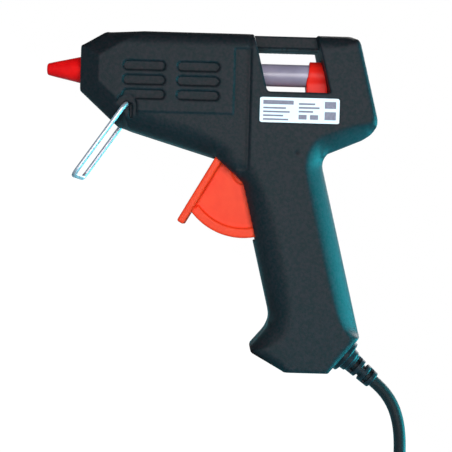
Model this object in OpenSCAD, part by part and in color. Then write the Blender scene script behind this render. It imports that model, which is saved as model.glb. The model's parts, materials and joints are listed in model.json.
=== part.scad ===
// Mini hot-melt glue gun, parked on its wire stand and the lower edge of its butt.
// The gun is drawn in its own axes: x runs back along the stick from the nose, z is up,
// y is across, and the stick's axis is x. Last of all, park() turns it nose down
// about y and puts the middle of its footprint at the origin.

/* [Housing] */
// Width across the two shells
body_w = 26; // [24:0.5:32]
// Wall of the shells
wall = 2; // [1.6:0.1:2.4]
// Height of the top flat above the stick's axis
top_h = 12; // [12:0.5:15]
// Length of the top, from the nose to the rear corner
top_len = 88.4; // [86:0.5:94]
// Rounding of the top's long edges
top_round = 5; // [3:0.5:6]
// Rounding of the barrel's lower edges
belly_round = 8; // [5:0.5:9]
// Half width of the nose's front face
nose_half_w = 8; // [7.5:0.25:10]
// Length over which the nose widens to the full width
nose_taper = 8.5; // [6:0.5:12]
// Rounding of the handle's front edges
grip_front_round = 9; // [6:0.5:10]
// Rounding of the handle's back edges
grip_back_round = 6.8; // [5:0.2:8]
// How far the butt reaches below the stick's axis
butt_drop = 95.2; // [92:0.5:110]

/* [Window] */
// Length of the window along the stick
window_len = 20; // [17:0.5:21]
// Front edge of the window, on the stick's axis
window_x = 58.1; // [57:0.5:60]
// Lean of the window and of the rear edge, in degrees
window_lean = 14; // [10:1:16]
// Depth of the window below the stick's axis
window_floor = 6.5; // [6:0.25:7]
// Width of the bridge over the window
bridge_w = 9.6; // [6:0.2:12]
// Height of the bridge bar
bridge_h = 4.2; // [3:0.2:4.4]

/* [Stick and barrel] */
// Diameter of the glue stick
stick_d = 7.2; // [6.8:0.1:7.6]
// Gap round the stick in everything that guides it
stick_gap = 0.3; // [0.2:0.05:0.4]
// Outer diameter of the melting chamber
barrel_d = 13; // [12:0.5:14]
// Length of the melting chamber
barrel_len = 40; // [38:0.5:41]
// Length of the nozzle cover outside the nose
cover_len = 11.55; // [9:0.5:16]
// Radius of the nozzle cover at its tip
cover_tip_r = 2; // [1.9:0.1:3]
// Radius of the nozzle cover at the nose
cover_root_r = 4.45; // [4.2:0.05:5.2]
// Diameter of the nozzle's outlet
outlet_d = 1.8; // [1:0.1:2.2]

/* [Trigger and feed] */
// Distance of the trigger's pivot behind the nose
pivot_x = 53.1; // [52:0.1:54]
// Depth of the trigger's pivot below the stick's axis
pivot_drop = 32.1; // [31:0.1:33]
// Radius from the pivot to the trigger's curved rib
rib_r = 21; // [19:0.5:22]
// Width of the trigger's front plate
plate_w = 14; // [12:0.5:15]
// Width of the trigger's web
web_w = 11; // [8:0.5:11]
// Diameter of the trigger's steel pin
pin_d = 3; // [2:0.1:3.4]
// Radial clearance of hinge pins in their bores
pin_gap = 0.05; // [0.02:0.01:0.1]
// Turn of the trigger, in degrees
trigger_turn = 27; // [20:1:27]
// Depth of the drive pin below the stick's axis
drive_drop = 10; // [9.8:0.1:10.4]
// Wall of the red feed sleeve
sleeve_wall = 0.7; // [0.6:0.05:0.9]

/* [Wire stand] */
// Diameter of the wire
wire_d = 1.5; // [1.2:0.1:2]
// Length from the stand's pivot to its crossbar
stand_len = 27.9; // [24:0.5:34]
// Distance of the stand's pivot behind the nose
stand_x = 15.3; // [14:0.1:17]
// Depth of the stand's pivot below the stick's axis
stand_drop = 11.65; // [11:0.1:12.5]
// Direction of the legs below straight ahead, in degrees
stand_angle = 55.3; // [50:0.5:60]
// Gap between the legs and the housing's sides
leg_gap = 0.25; // [0.1:0.05:0.6]

/* [Label] */
// Length of the rating label
label_len = 25.5; // [20:0.5:26]
// Height of the rating label
label_h = 8.3; // [6:0.1:9]

/* [Cord] */
// Diameter of the mains cord
cord_d = 4; // [3.4:0.1:4.4]
// Length of the strain relief's sleeve
relief_len = 11.3; // [9:0.5:16]
// Distance between the middles of the hank's two folds
hank_straight = 60; // [40:1:64]
// Radius of the hank's inner fold
fold_r = 12; // [12:0.5:16]
// Layers of cord in the hank
hank_layers = 3; // [2:1:4]

/* [Hidden] */

$fn = 48;
eps = 0.01;
far = 200;
half_w = body_w / 2;

// Colours
c_shell = [0.13, 0.15, 0.17];
c_red = [0.93, 0.13, 0.1];
c_trigger = [1, 0.32, 0.2];
c_steel = [0.75, 0.76, 0.78];
c_brass = [0.8, 0.65, 0.35];
c_alu = [0.68, 0.69, 0.7];
c_black = [0.06, 0.06, 0.07];
c_silicone = [0.85, 0.84, 0.8];
c_label = [0.9, 0.92, 0.95];
c_stick = [0.75, 0.74, 0.8];
c_live = [0.35, 0.2, 0.12];
c_neutral = [0.12, 0.25, 0.6];

// Housing outline, side view, as [x, z, corner radius], anticlockwise
lean = tan(window_lean);
under_angle = atan(9.5 / 32.3);
rear_x = top_len;
function rear_at(z) = rear_x + (top_h - z) * lean;
nose_low = [0, -7.4];
belly_front = [11.9, -18.2];
belly_rear = [44.2, -27.7];
grip_top = [51.9, -34.3];
grip_low = [63.1, -79.9];
nose_corner = [55.63, 6.56 - butt_drop];
butt_front = [67.4, -butt_drop];
butt_rear = [81.35, -butt_drop];
gland_top = [91.35, 11.8 - butt_drop];
web_corner = [77.3, -26.2];
tail_corner = [rear_at(-18.2), -18.2];
nose_corner_r = 1.7;

barrel_outline = [
    [0, nose_low[1], 0.6], [belly_front[0], belly_front[1], 1.5],
    [belly_rear[0], belly_rear[1], 1], [58, belly_rear[1] - 13.8 * tan(under_angle), 0.5],
    [58, top_h, 0.5], [8.1, top_h, 1.5], [0, 7.2, 0.6]];
rear_outline = [
    [50, -26, 0.5], [web_corner[0] + 1, -25.8, 0.5], [tail_corner[0], tail_corner[1], 5.5],
    [rear_x, top_h, 4], [50, top_h, 0.5]];
handle_outline = [
    [belly_rear[0], belly_rear[1], 1], [grip_top[0], grip_top[1], 5],
    [grip_low[0], grip_low[1], 1], [90.5, -80, 0.5],
    [web_corner[0], web_corner[1], 5], [web_corner[0] + 4.6, web_corner[1] + 1.9, 0.5],
    [79, -14, 1], [belly_rear[0], -14, 1]];
butt_outline = [
    [grip_low[0] - 1.1, -75, 0.3], [grip_low[0], grip_low[1], 8],
    [nose_corner[0], nose_corner[1], nose_corner_r], [butt_front[0], butt_front[1], 1],
    [butt_rear[0], butt_rear[1], 0.6], [gland_top[0], gland_top[1], 1.5], [89.3, -75, 0.3]];

// Cord gland on the butt's slanted corner, and the strain relief in it
cord_r = cord_d / 2;
relief_out = 2.4;
relief_root_r = 3.45;
relief_tip_r = 2.85;
flange_r = 5.65;
gland = [(butt_rear[0] + gland_top[0]) / 2, 0, (butt_rear[1] + gland_top[1]) / 2];
gland_angle = atan2(gland_top[1] - butt_rear[1], gland_top[0] - butt_rear[0]) - 90;

// Parking: the line that touches the crossbar and the butt's front corner becomes the floor
stand_pivot = [stand_x, 0, -stand_drop];
crossbar = [stand_x - stand_len * cos(stand_angle), -stand_drop - stand_len * sin(stand_angle)];
nose_arc = arc_centre(grip_low, nose_corner, butt_front, nose_corner_r);
rest_span = nose_arc - crossbar;
park_angle = -atan2(rest_span[1], rest_span[0])
    + asin((nose_corner_r - wire_d / 2) / norm(rest_span));
floor_z = crossbar[0] * sin(park_angle) + crossbar[1] * cos(park_angle) - wire_d / 2;
relief_tip = [gland[0] + (relief_out + relief_len) * cos(gland_angle),
    gland[2] + (relief_out + relief_len) * sin(gland_angle)];
function parked_x(p) = p[0] * cos(park_angle) - p[1] * sin(park_angle);
front_x = parked_x([-cover_len, 0]) - cover_tip_r * sin(park_angle);
rear_end = parked_x(relief_tip) + 2;
mid_x = (front_x + rear_end) / 2;

// Stick, barrel and guides
guide_r = stick_d / 2 + stick_gap;
feed_r = guide_r + sleeve_wall;
inlet_r = guide_r + 0.3;
barrel_x = 4;
barrel_r = barrel_d / 2;
barrel_end = barrel_x + barrel_len;
neck_r = barrel_r - 1.5;
neck_x = barrel_end - 6;
thread_r = 3.2;
thread_end = 10;
sleeve_r = neck_r + 1;
sleeve_end = 53.2;
stick_front = 22;
stick_rear = 86.5;
collar_x = 87.2;
collar_r = inlet_r + 1.1;
support_x = 34.9;
support_w = 2.6;
support_r = barrel_r + 1.8;
fit = 0.02;

// Heater
heater_x = 12;
heater_len = 22;
heater_w = 8.4;
block_w = 11;
block_low = -12.6;
slot_low = -11.2;
slot_high = -8.6;
plate_t = 0.3;
stone_t = 1.5;
wrap_t = 0.2;

// Trigger and feed
pivot = [pivot_x, 0, -pivot_drop];
pin_r = pin_d / 2;
arm_r = pivot_drop - drive_drop;
arm_rest = trigger_turn / 2;
drive_r = 1.5;
drive_x = pivot_x + arm_r * sin(arm_rest);
drive_z = -pivot_drop + arm_r * cos(arm_rest);
travel = 2 * arm_r * sin(arm_rest);
arm_w = 4;
cheek_w = 8.6;
slide_top = -window_floor - 2;
slide_low = -13.4;
slide_front = drive_x - 4;
feed_x = 72.9;
feed_end = 86.2;
gripper_x = 81.4;
gripper_z = -7.4;
gripper_pin_r = 1;
spring_y = 7;
spring_z = -16.4;
spring_r = 2.3;
spring_wire = 0.6;
spring_front = 58.4;
spring_rear = 80.4;
spring_turns = 8;

// Screws: place in side view
screw_places = [[38, -20.2], [50.2, 9], [84.2, 8.3], [87.2, -16.8], [77.4, -53], [64.6, -87.4]];
screw_r = 1.2;
screw_head_r = 2.3;
boss_r = 2.7;

// Stand
leg_y = half_w + leg_gap + wire_d / 2;
wire_r = wire_d / 2;
wire_bend_r = 2.5;
stand_reach = 8.5;

// Cord, gland and clamp
lead_r = 0.7;
jacket_in = 14;
clamp_s = -9.5;
clamp_t = 5.7;
connector_x = 68.4;
connector_z = -66;
connector_len = 9;
connector_y = 3.4;

// Hank and plug, on the floor behind the gun; all in the parked axes before centring
tie_t = 0.6;
outer_fold_r = fold_r + cord_d;
hank_x = 194;
hank_z = tie_t;
hank_half_w = outer_fold_r + cord_r;
hank_h = hank_layers * cord_d;
plug_len = 36;
plug_w = 30;
plug_h = 13.7;
plug_x = 225;
plug_y = -4;
plug_z = hank_z + hank_h + tie_t + plug_h / 2;
plug_pin_r = 2;
plug_pin_len = 19;
plug_root_r = 1.5;
plug_pin_gap = 18.6;
tie_x = hank_x + hank_straight - 9;
tie_w = 6;

// Routes of the cord's two free stretches, parked axes, z above the floor
cord_route = [[137.8, 0, 20.7], [141.5, 0, 20.8], [145.5, 0, 20.3], [149.5, -0.4, 18.9],
    [153.5, -1.5, 16.4], [157, -3.2, 13.2], [160, -5.2, 9.8], [163, -7.4, 6.8],
    [166.5, -9.8, 4.4], [170.5, -12.1, 3.1], [174.5, -13.9, 2.6], [179, -15.3, 2.6],
    [186, -16, 2.6]];
tail_route = [[194, -12, 10.6], [198.5, -12, 10.9], [203, -11.6, 11.8], [207.5, -10.6, 13.5],
    [212, -8.9, 15.8], [215.5, -7, 17.8], [218.5, -5.3, 19.3], [221, -4.3, 19.95],
    [223, -4, 20.05], [225, -4, 20.05]];

// ---- Outline helpers ----

function unit(v) = v / norm(v);
function inward(a, b) = let (e = unit(b - a)) [-e[1], e[0]];
function xz(p) = [p[0], p[1]];

// Corner b of an outline, moved inwards by d between its two edges
function moved_corner(a, b, c, d) =
    let (m = inward(a, b), n = inward(b, c)) b + d * (m + n) / (1 + m * n);

// Centre of the arc that rounds corner b
function arc_centre(a, b, c, r) =
    let (u = unit(a - b), v = unit(c - b), half = acos(max(-1, u * v)) / 2)
    b + unit(u + v) * r / sin(half);

// Points of the arc that rounds corner b
function corner_arc(a, b, c, r) =
    let (
        u = unit(a - b),
        v = unit(c - b),
        turn = 180 - acos(max(-1, u * v)),
        centre = arc_centre(a, b, c, r),
        start = b + u * r * tan(turn / 2) - centre,
        way = sign((b[0] - a[0]) * (c[1] - b[1]) - (b[1] - a[1]) * (c[0] - b[0])),
        steps = max(1, round(turn / 15))
    )
    r < 0.05 || turn < 2 ? [b] : [for (i = [0:steps])
        let (t = way * turn * i / steps)
        centre + [start[0] * cos(t) - start[1] * sin(t), start[0] * sin(t) + start[1] * cos(t)]];

// Outline of [x, z, radius] entries, shrunk by d on all sides, with its corners rounded
function rounded(outline, d = 0) =
    let (
        n = len(outline),
        moved = [for (i = [0:n - 1])
            moved_corner(xz(outline[(i + n - 1) % n]), xz(outline[i]), xz(outline[(i + 1) % n]), d)]
    )
    [for (i = [0:n - 1])
        let (
            a = moved[(i + n - 1) % n],
            b = moved[i],
            c = moved[(i + 1) % n],
            bulges = (b[0] - a[0]) * (c[1] - b[1]) - (b[1] - a[1]) * (c[0] - b[0]) > 0,
            r = bulges ? max(outline[i][2] - d, 0.3) : outline[i][2] + d
        )
        each corner_arc(a, b, c, r)];

// Side view outline, as a slab across the gun
module side_slab(outline, width = far, d = 0) {
    rotate([90, 0, 0])
        linear_extrude(width, center = true)
            polygon(rounded(outline, d));
}

// Bar along x with a y-z section
module bar_x(section, from, to, d = 0) {
    translate([from, 0, 0])
        rotate([90, 0, 90])
            linear_extrude(to - from)
                polygon(rounded(section, d));
}

// Cylinder along x, or along y with its middle at y = 0
module rod_x(r, from, to, r_end = undef) {
    translate([from, 0, 0])
        rotate([0, 90, 0])
            cylinder(h = to - from, r1 = r, r2 = is_undef(r_end) ? r : r_end);
}

module rod_y(place, r, from, to) {
    translate([place[0], to, place[1]])
        rotate([90, 0, 0])
            cylinder(h = to - from, r = r);
}

module box(low, high) {
    translate(low)
        cube(high - low);
}

// From the gun's own axes to the parked ones
module park() {
    translate([-mid_x, 0, -floor_z])
        rotate([0, -park_angle, 0])
            children();
}

// What lies on the floor is drawn parked already, with z from the floor
module on_floor() {
    translate([-mid_x, 0, 0])
        children();
}

// ---- Swept round tube ----

function route_frame(route, i) =
    let (
        n = len(route),
        ahead = unit(route[min(i + 1, n - 1)] - route[max(i - 1, 0)]),
        side = unit(cross([0.12, 0.05, 1], ahead))
    )
    [side, cross(ahead, side)];

function tube_points(route, r, sides) =
    [for (i = [0:len(route) - 1])
        let (f = route_frame(route, i))
        for (k = [0:sides - 1])
            route[i] + r * (cos(360 * k / sides) * f[0] + sin(360 * k / sides) * f[1])];

function tube_faces(rings, sides) = concat(
    [[for (k = [0:sides - 1]) k]],
    [for (i = [0:rings - 2], k = [0:sides - 1])
        let (a = i * sides + k, b = i * sides + (k + 1) % sides)
        each [[a, a + sides, b + sides], [a, b + sides, b]]],
    [[for (k = [sides - 1:-1:0]) (rings - 1) * sides + k]]);

module tube(route, r, sides = 8) {
    polyhedron(tube_points(route, r, sides), tube_faces(len(route), sides));
}

// ---- Housing ----

// y-z section of the body: flat sides, rounded top edges
top_section = [[-half_w, -far, 0], [half_w, -far, 0], [half_w, top_h, top_round],
    [-half_w, top_h, top_round]];
// section across the sloping belly, rounded at its lower edges
belly_section = [[-half_w, 0, belly_round], [half_w, 0, belly_round], [half_w, far, 0],
    [-half_w, far, 0]];
// plan of the barrel, tapering to the nose
nose_plan = [[0, -nose_half_w, 0.3], [nose_taper, -half_w, 1], [60, -half_w, 0.3],
    [60, half_w, 0.3], [nose_taper, half_w, 1], [0, nose_half_w, 0.3]];
// sections across the handle and across the butt, from front to back
grip_lean = 13.4;
grip_depth = 27.6;
grip_plan = [[0, -half_w, grip_front_round], [grip_depth, -half_w, grip_back_round],
    [grip_depth, half_w, grip_back_round], [0, half_w, grip_front_round]];
butt_reach = 9;
butt_plan = [[-butt_reach, -half_w, 6], [grip_depth + 1, -half_w, grip_back_round],
    [grip_depth + 1, half_w, grip_back_round], [-butt_reach, half_w, 6]];

module barrel_volume(d) {
    intersection() {
        side_slab(barrel_outline, far, d);
        bar_x(top_section, -5, 65, d);
        translate([belly_front[0], 0, belly_front[1]])
            rotate([0, under_angle, 0])
                bar_x(belly_section, -30, 60, d);
        translate([0, 0, -50])
            linear_extrude(80)
                polygon(rounded(nose_plan, d));
    }
}

module rear_volume(d) {
    intersection() {
        side_slab(rear_outline, far, d);
        bar_x(top_section, 40, 110, d);
    }
}

module handle_prism(plan, d) {
    translate([grip_top[0] - 1, 0, grip_top[1]])
        rotate([0, -grip_lean, 0])
            translate([0, 0, -75])
                linear_extrude(105)
                    polygon(rounded(plan, d));
}

module handle_volume(d) {
    intersection() {
        side_slab(handle_outline, far, d);
        handle_prism(grip_plan, d);
    }
}

module butt_volume(d) {
    intersection() {
        side_slab(butt_outline, far, d);
        handle_prism(butt_plan, d);
    }
}

module body_volume(d = 0) {
    barrel_volume(d);
    rear_volume(d);
    handle_volume(d);
    butt_volume(d);
}

// Leaning window: outline grown by g, from its floor up past the top
function window_outline(g, top) = [
    [window_x - g + (window_floor + g) * lean, -window_floor - g],
    [window_x + window_len + g + (window_floor + g) * lean, -window_floor - g],
    [window_x + window_len + g - top * lean, top],
    [window_x - g - top * lean, top]];

module window_slab(g, top) {
    rotate([90, 0, 0])
        linear_extrude(far, center = true)
            polygon(window_outline(g, top));
}

bridge_low = top_h - bridge_h;

module bridge() {
    box([window_x - 6, -bridge_w / 2, bridge_low], [window_x + window_len + 1, bridge_w / 2, top_h]);
}

// Inner walls that stand across the cavity
module cross_wall(from, to) {
    intersection() {
        body_volume(eps);
        box([from, -far, -16.5], [to, far, far]);
    }
}

module inner_walls() {
    intersection() {
        body_volume(eps);
        window_slab(1.7, far);
    }
    cross_wall(support_x - 1.8, support_x - 0.1);
    cross_wall(support_x + support_w + 0.1, support_x + support_w + 1.8);
    intersection() {
        body_volume(eps);
        union() {
            rod_y([stand_x, -stand_drop], 3.6, -far, far);
            for (p = screw_places)
                rod_y(p, boss_r, -far, far);
        }
    }
}

// Everything that the feed, the trigger and the hot parts need free
module clear_paths() {
    // nose hole, barrel and its heater
    rod_x(cover_root_r + 0.05, -1, wall + eps);
    rod_x(barrel_r + 1.2, wall, barrel_end + 1);
    rod_x(support_r + fit, support_x - 0.05, support_x + support_w + 0.05);
    box([heater_x - 1, -7, -14], [neck_x + 2.6, 7, 0]);
    // stick, feed sleeve and slide, over their whole travel
    rod_x(sleeve_r + 0.3, barrel_end, sleeve_end + 0.3);
    rod_x(guide_r, 40, 80);
    rod_x(feed_r + 0.25, window_x + 2, collar_x - 0.3);
    box([feed_x - travel - 0.5, -ear_y - 0.25, -window_floor - 3], [collar_x, ear_y + 0.25, -3.5]);
    box([slide_front - travel - 1, -cheek_w / 2 - 0.25, slide_low - 0.3],
        [collar_x, cheek_w / 2 + 0.25, slide_top + 0.2]);
    // trigger arm
    box([44, -3, -30], [64, 3, slide_top]);
}

// The trigger's slot in the handle's front and the barrel's underside
trigger_slot = [[42.6, -24], [56, -24], [62, -40], [62, -54.2], [40, -54.2]];

module trigger_cut() {
    rotate([90, 0, 0])
        linear_extrude(plate_w + 0.8, center = true)
            polygon(trigger_slot);
}

// Six vent slots with round ends, three rows of two
vent_len = 13.4;
vent_h = 2.93;
vent_depth = 0.9;
vent_x = [14.05, 31.14];
vent_z = [0.65, -3.9, -8.45];

module vents() {
    for (x = vent_x, z = vent_z) {
        a = x + vent_h / 2;
        b = x + vent_len - vent_h / 2;
        for (s = [-1, 1]) {
            rod_y([a, z], vent_h / 2, s > 0 ? half_w - vent_depth : -half_w - 1,
                s > 0 ? half_w + 1 : -half_w + vent_depth);
            rod_y([b, z], vent_h / 2, s > 0 ? half_w - vent_depth : -half_w - 1,
                s > 0 ? half_w + 1 : -half_w + vent_depth);
            box([a, s > 0 ? half_w - vent_depth : -half_w - 1, z - vent_h / 2],
                [b, s > 0 ? half_w + 1 : -half_w + vent_depth, z + vent_h / 2]);
        }
    }
}

// Shallow upright channel between the front panel and the rear block
channel_x = [49.3, 54.5];
channel_depth = 0.5;

module channels() {
    for (s = [-1, 1])
        box([channel_x[0], s > 0 ? half_w - channel_depth : -half_w - 1, -24],
            [channel_x[1], s > 0 ? half_w + 1 : -half_w + channel_depth, 6.8]);
}

// Pocket in which a leg of the stand turns, open downwards
pocket_w = 7;
pocket_depth = 1.1;

module pockets() {
    for (s = [-1, 1]) {
        y_low = s > 0 ? half_w - pocket_depth : -half_w - 5;
        y_high = s > 0 ? half_w + 5 : -half_w + pocket_depth;
        rod_y([stand_x, -stand_drop - 0.6], pocket_w / 2, y_low, y_high);
        box([stand_x - pocket_w / 2, y_low, -stand_drop - 5], [stand_x + pocket_w / 2, y_high,
            -stand_drop - 0.6]);
    }
}

// From the gland's own axes, s outwards and t across it, to the gun's
module at_gland() {
    translate(gland)
        rotate([0, -gland_angle, 0])
            children();
}

module hollow_body() {
    difference() {
        body_volume(0);
        difference() {
            body_volume(wall);
            inner_walls();
        }
        clear_paths();
        window_slab(0, far);
        trigger_cut();
        vents();
        channels();
        pockets();
        rod_y([stand_x, -stand_drop], wire_r + pin_gap, -far, far);
        // gland
        at_gland() {
            rod_x(relief_root_r - 0.2, -8, 8);
            rod_x(4.7, -3.6, -wall);
        }
    }
    bridge();
}

module pin_boss(s) {
    rod_y([pivot_x, -pivot_drop], 3.2, s > 0 ? web_w / 2 + 0.3 : -half_w + 1,
        s > 0 ? half_w - 1 : -web_w / 2 - 0.3);
}

module left_housing() {
    color(c_shell)
        park()
            difference() {
                union() {
                    intersection() {
                        hollow_body();
                        box([-5, -far, -far], [far, 0, far]);
                    }
                    pin_boss(-1);
                    // inlet collar, cut off flush with the leaning rear edge
                    intersection() {
                        rod_x(collar_r, collar_x, 110);
                        side_slab(rear_outline);
                    }
                    at_gland() {
                        box([clamp_s - 2, -half_w + 1.5, -2], [clamp_s + 2, -cord_r - 0.05, 2]);
                        for (t = [-clamp_t, clamp_t])
                            rod_y([clamp_s, t], 2.2, -half_w + 1.5, 1.8);
                    }
                }
                rod_x(inlet_r, collar_x - 1, 110);
                rod_y([pivot_x, -pivot_drop], pin_r + fit, -half_w + 2.5, 0);
                for (p = screw_places)
                    rod_y(p, screw_r + fit, -half_w + 3.5, eps);
                at_gland()
                    for (t = [-clamp_t, clamp_t])
                        rod_y([clamp_s, t], screw_r + fit, -7, 2);
                // label recess
                box(label_low - [0.15, 1, 0.15], label_high + [0.15, 0, 0.15]);
            }
}

module right_housing() {
    color(c_shell)
        park()
            difference() {
                union() {
                    intersection() {
                        hollow_body();
                        box([-5, 0, -far], [far, far, far]);
                    }
                    pin_boss(1);
                    // seat for the front of the return spring
                    intersection() {
                        box([spring_front - 1.6, 4.2, spring_z - 3.4], [spring_front, half_w - 1,
                            slide_low - 0.5]);
                        body_volume(eps);
                    }
                }
                rod_x(collar_r + fit, collar_x - 0.1, 110);
                rod_y([pivot_x, -pivot_drop], pin_r + fit, 0, half_w - 2.5);
                for (p = screw_places) {
                    rod_y(p, screw_r + 0.15, -eps, far);
                    rod_y(p, screw_head_r + 0.2, head_seat, far);
                }
            }
}

head_seat = half_w - 5;

module screw(p) {
    difference() {
        union() {
            rod_y(p, screw_r, -half_w + 4, head_seat + eps);
            rod_y(p, screw_head_r, head_seat, head_seat + 1.7);
        }
        box([p[0] - 1.5, head_seat + 0.9, p[1] - 0.35], [p[0] + 1.5, head_seat + 2, p[1] + 0.35]);
        box([p[0] - 0.35, head_seat + 0.9, p[1] - 1.5], [p[0] + 0.35, head_seat + 2, p[1] + 1.5]);
    }
}

module housing_screws() {
    color(c_steel)
        park()
            for (p = screw_places)
                screw(p);
}

// ---- Nozzle, barrel and heater ----

// Solid of revolution about x from [x, radius] points
module turned(profile) {
    rotate([0, 90, 0])
        rotate_extrude()
            polygon([for (p = profile) [p[1], p[0]]]);
}

cover_flange_r = cover_root_r + 1.4;
nozzle_tip_x = 0.5 - cover_len;

module nozzle_cover() {
    color(c_red)
        park()
            turned([[nozzle_tip_x, cover_tip_r - 0.5], [-cover_len, cover_tip_r - 0.45],
                [-cover_len + 0.45, cover_tip_r], [0, cover_root_r], [wall + 0.1, cover_root_r],
                [wall + 0.1, cover_flange_r], [barrel_x - 0.1, cover_flange_r],
                [barrel_x - 0.1, thread_r + fit], [0.2, thread_r + fit]]);
}

module nozzle() {
    color(c_brass)
        park()
            turned([[nozzle_tip_x, outlet_d / 2], [nozzle_tip_x, cover_tip_r - 0.55],
                [0.2, thread_r], [thread_end, thread_r], [thread_end, thread_r - 0.9],
                [2, thread_r - 0.9], [nozzle_tip_x + 3, outlet_d / 2]]);
}

module heating_barrel() {
    color(c_alu)
        park()
            difference() {
                union() {
                    rod_x(barrel_r, barrel_x, neck_x);
                    rod_x(neck_r, neck_x - eps, barrel_end);
                    box([heater_x, -block_w / 2, block_low], [heater_x + heater_len, block_w / 2, -4]);
                }
                rod_x(thread_r + fit, barrel_x - 1, thread_end + 0.5);
                rod_x(guide_r, thread_end, barrel_end + 1);
                box([heater_x - 1, -heater_w / 2, slot_low],
                    [heater_x + heater_len + 1, heater_w / 2, slot_high]);
            }
}

stone_low = slot_low + wrap_t + plate_t + 0.05;
stone_high = stone_low + stone_t;

module heater_element() {
    color([0.45, 0.44, 0.42])
        park()
            for (x = [heater_x + 1, heater_x + 11.5])
                box([x, -3.2, stone_low], [x + 9.5, 3.2, stone_high]);
}

module contact_plates() {
    color(c_brass)
        park() {
            x_end = heater_x + heater_len - 1;
            box([heater_x + 0.8, -3.4, stone_low - plate_t], [x_end, 3.4, stone_low]);
            box([heater_x + 0.8, -3.4, stone_high], [x_end, 3.4, stone_high + plate_t]);
            box([x_end - eps, -3.4, stone_low - plate_t], [tab_end, -1.4, stone_low]);
            box([x_end - eps, 1.4, stone_high], [tab_end, 3.4, stone_high + plate_t]);
        }
}

tab_end = neck_x + 1.5;

module heater_insulation() {
    color([0.75, 0.5, 0.15])
        park()
            difference() {
                box([heater_x + 0.4, -4.1, slot_low + 0.03],
                    [heater_x + heater_len - 0.4, 4.1, slot_high - 0.03]);
                box([heater_x, -3.6, stone_low - plate_t - fit],
                    [heater_x + heater_len, 3.6, stone_high + plate_t + fit]);
            }
}

module heater_clip() {
    color(c_steel)
        park()
            difference() {
                box([heater_x + 6, -block_w / 2 - 0.6, block_low - 0.65],
                    [heater_x + 16, block_w / 2 + 0.6, -4.6]);
                box([heater_x + 5, -block_w / 2 - fit, block_low - fit],
                    [heater_x + 17, block_w / 2 + fit, 0]);
            }
}

module barrel_support() {
    color([0.55, 0.38, 0.25])
        park()
            difference() {
                rod_x(support_r, support_x, support_x + support_w);
                rod_x(barrel_r + fit, support_x - 1, support_x + support_w + 1);
            }
}

module inlet_sleeve() {
    color(c_silicone)
        park()
            difference() {
                rod_x(sleeve_r, neck_x + 0.3, sleeve_end);
                rod_x(neck_r + fit, neck_x - 1, barrel_end + 0.2);
                rod_x(guide_r, neck_x, sleeve_end + 1);
            }
}

module sleeve_clip() {
    color(c_steel)
        park()
            difference() {
                rod_x(sleeve_r + 0.7, neck_x + 2.4, neck_x + 4);
                rod_x(sleeve_r + fit, neck_x, neck_x + 6);
                box([neck_x + 2, -1.2, sleeve_r - 1], [neck_x + 5, 1.2, sleeve_r + 2]);
            }
}

// ---- Stick and feed ----

module glue_stick() {
    color(c_stick)
        park()
            rod_x(stick_d / 2, stick_front, stick_rear);
}

ear_x = [gripper_x - 1.9, gripper_x + 1.9];
ear_y = 3.9;

module feed_carriage() {
    color(c_red)
        park()
            difference() {
                union() {
                    rod_x(feed_r, feed_x, gripper_x - 2.1);
                    rod_x(feed_r, gripper_x + 2.6, feed_end);
                    // web under the sleeve, and the ears that hold the gripper
                    box([feed_x + 0.4, -3, slide_top - 0.5], [gripper_x - 2.1, 3, -2]);
                    box([gripper_x + 2.6, -3, slide_top - 0.5], [feed_end, 3, -2]);
                    box([ear_x[0], -ear_y, slide_top - 0.5], [ear_x[1], ear_y, gripper_z + 1.5]);
                    // slide under the window, with the slot for the trigger's arm
                    box([slide_front, -cheek_w / 2, slide_low], [feed_end, cheek_w / 2, slide_top]);
                    // lug that the spring pushes on
                    box([spring_rear, 2, spring_z - 2.6], [spring_rear + 2.4, 9.6, slide_low + 2]);
                }
                rod_x(guide_r, feed_x - 1, feed_end + 1);
                box([gripper_x - 2.1 + eps, -2.3, slide_top - 0.4],
                    [gripper_x + 2.6 - eps, 2.3, 0]);
                rod_y([gripper_x, gripper_z], gripper_pin_r + pin_gap, -5, 5);
                box([slide_front + 1.2, -arm_w / 2 - 0.2, slide_low - 1],
                    [drive_x + 3.4, arm_w / 2 + 0.2, slide_top + 1]);
                box([drive_x - drive_r - pin_gap, -far, drive_z - drive_r - 0.25],
                    [drive_x + drive_r + pin_gap, far, slide_top + 1]);
            }
}

module stick_gripper() {
    color([0.85, 0.83, 0.78])
        park()
            difference() {
                union() {
                    rod_x(feed_r, gripper_x - 0.6, gripper_x + 0.6);
                    box([gripper_x - 0.6, -2, gripper_z], [gripper_x + 0.6, 2, -4]);
                    rod_y([gripper_x, gripper_z], gripper_pin_r, -3.8, 3.8);
                }
                rod_x(guide_r + 0.05, gripper_x - 2, gripper_x + 2);
            }
}

// ---- Trigger ----

plate_top = [43.5, -28];
plate_low = [32, -48];
plate_t_trigger = 2.5;
plate_way = unit(plate_top - plate_low);
plate_back = plate_t_trigger * [plate_way[1], -plate_way[0]];

module flat_y(points, width) {
    rotate([90, 0, 0])
        linear_extrude(width, center = true)
            polygon(points);
}

// Sector about the pivot between two directions, in side view
function sector(r, from, to) = concat([[pivot_x, -pivot_drop]],
    [for (i = [0:10]) let (t = from + (to - from) * i / 10)
        [pivot_x + r * cos(t), -pivot_drop + r * sin(t)]]);

rib_in = rib_r - 3.1;
web_from = 180 + atan2(-pivot_drop - plate_low[1], pivot_x - plate_low[0]);

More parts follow.
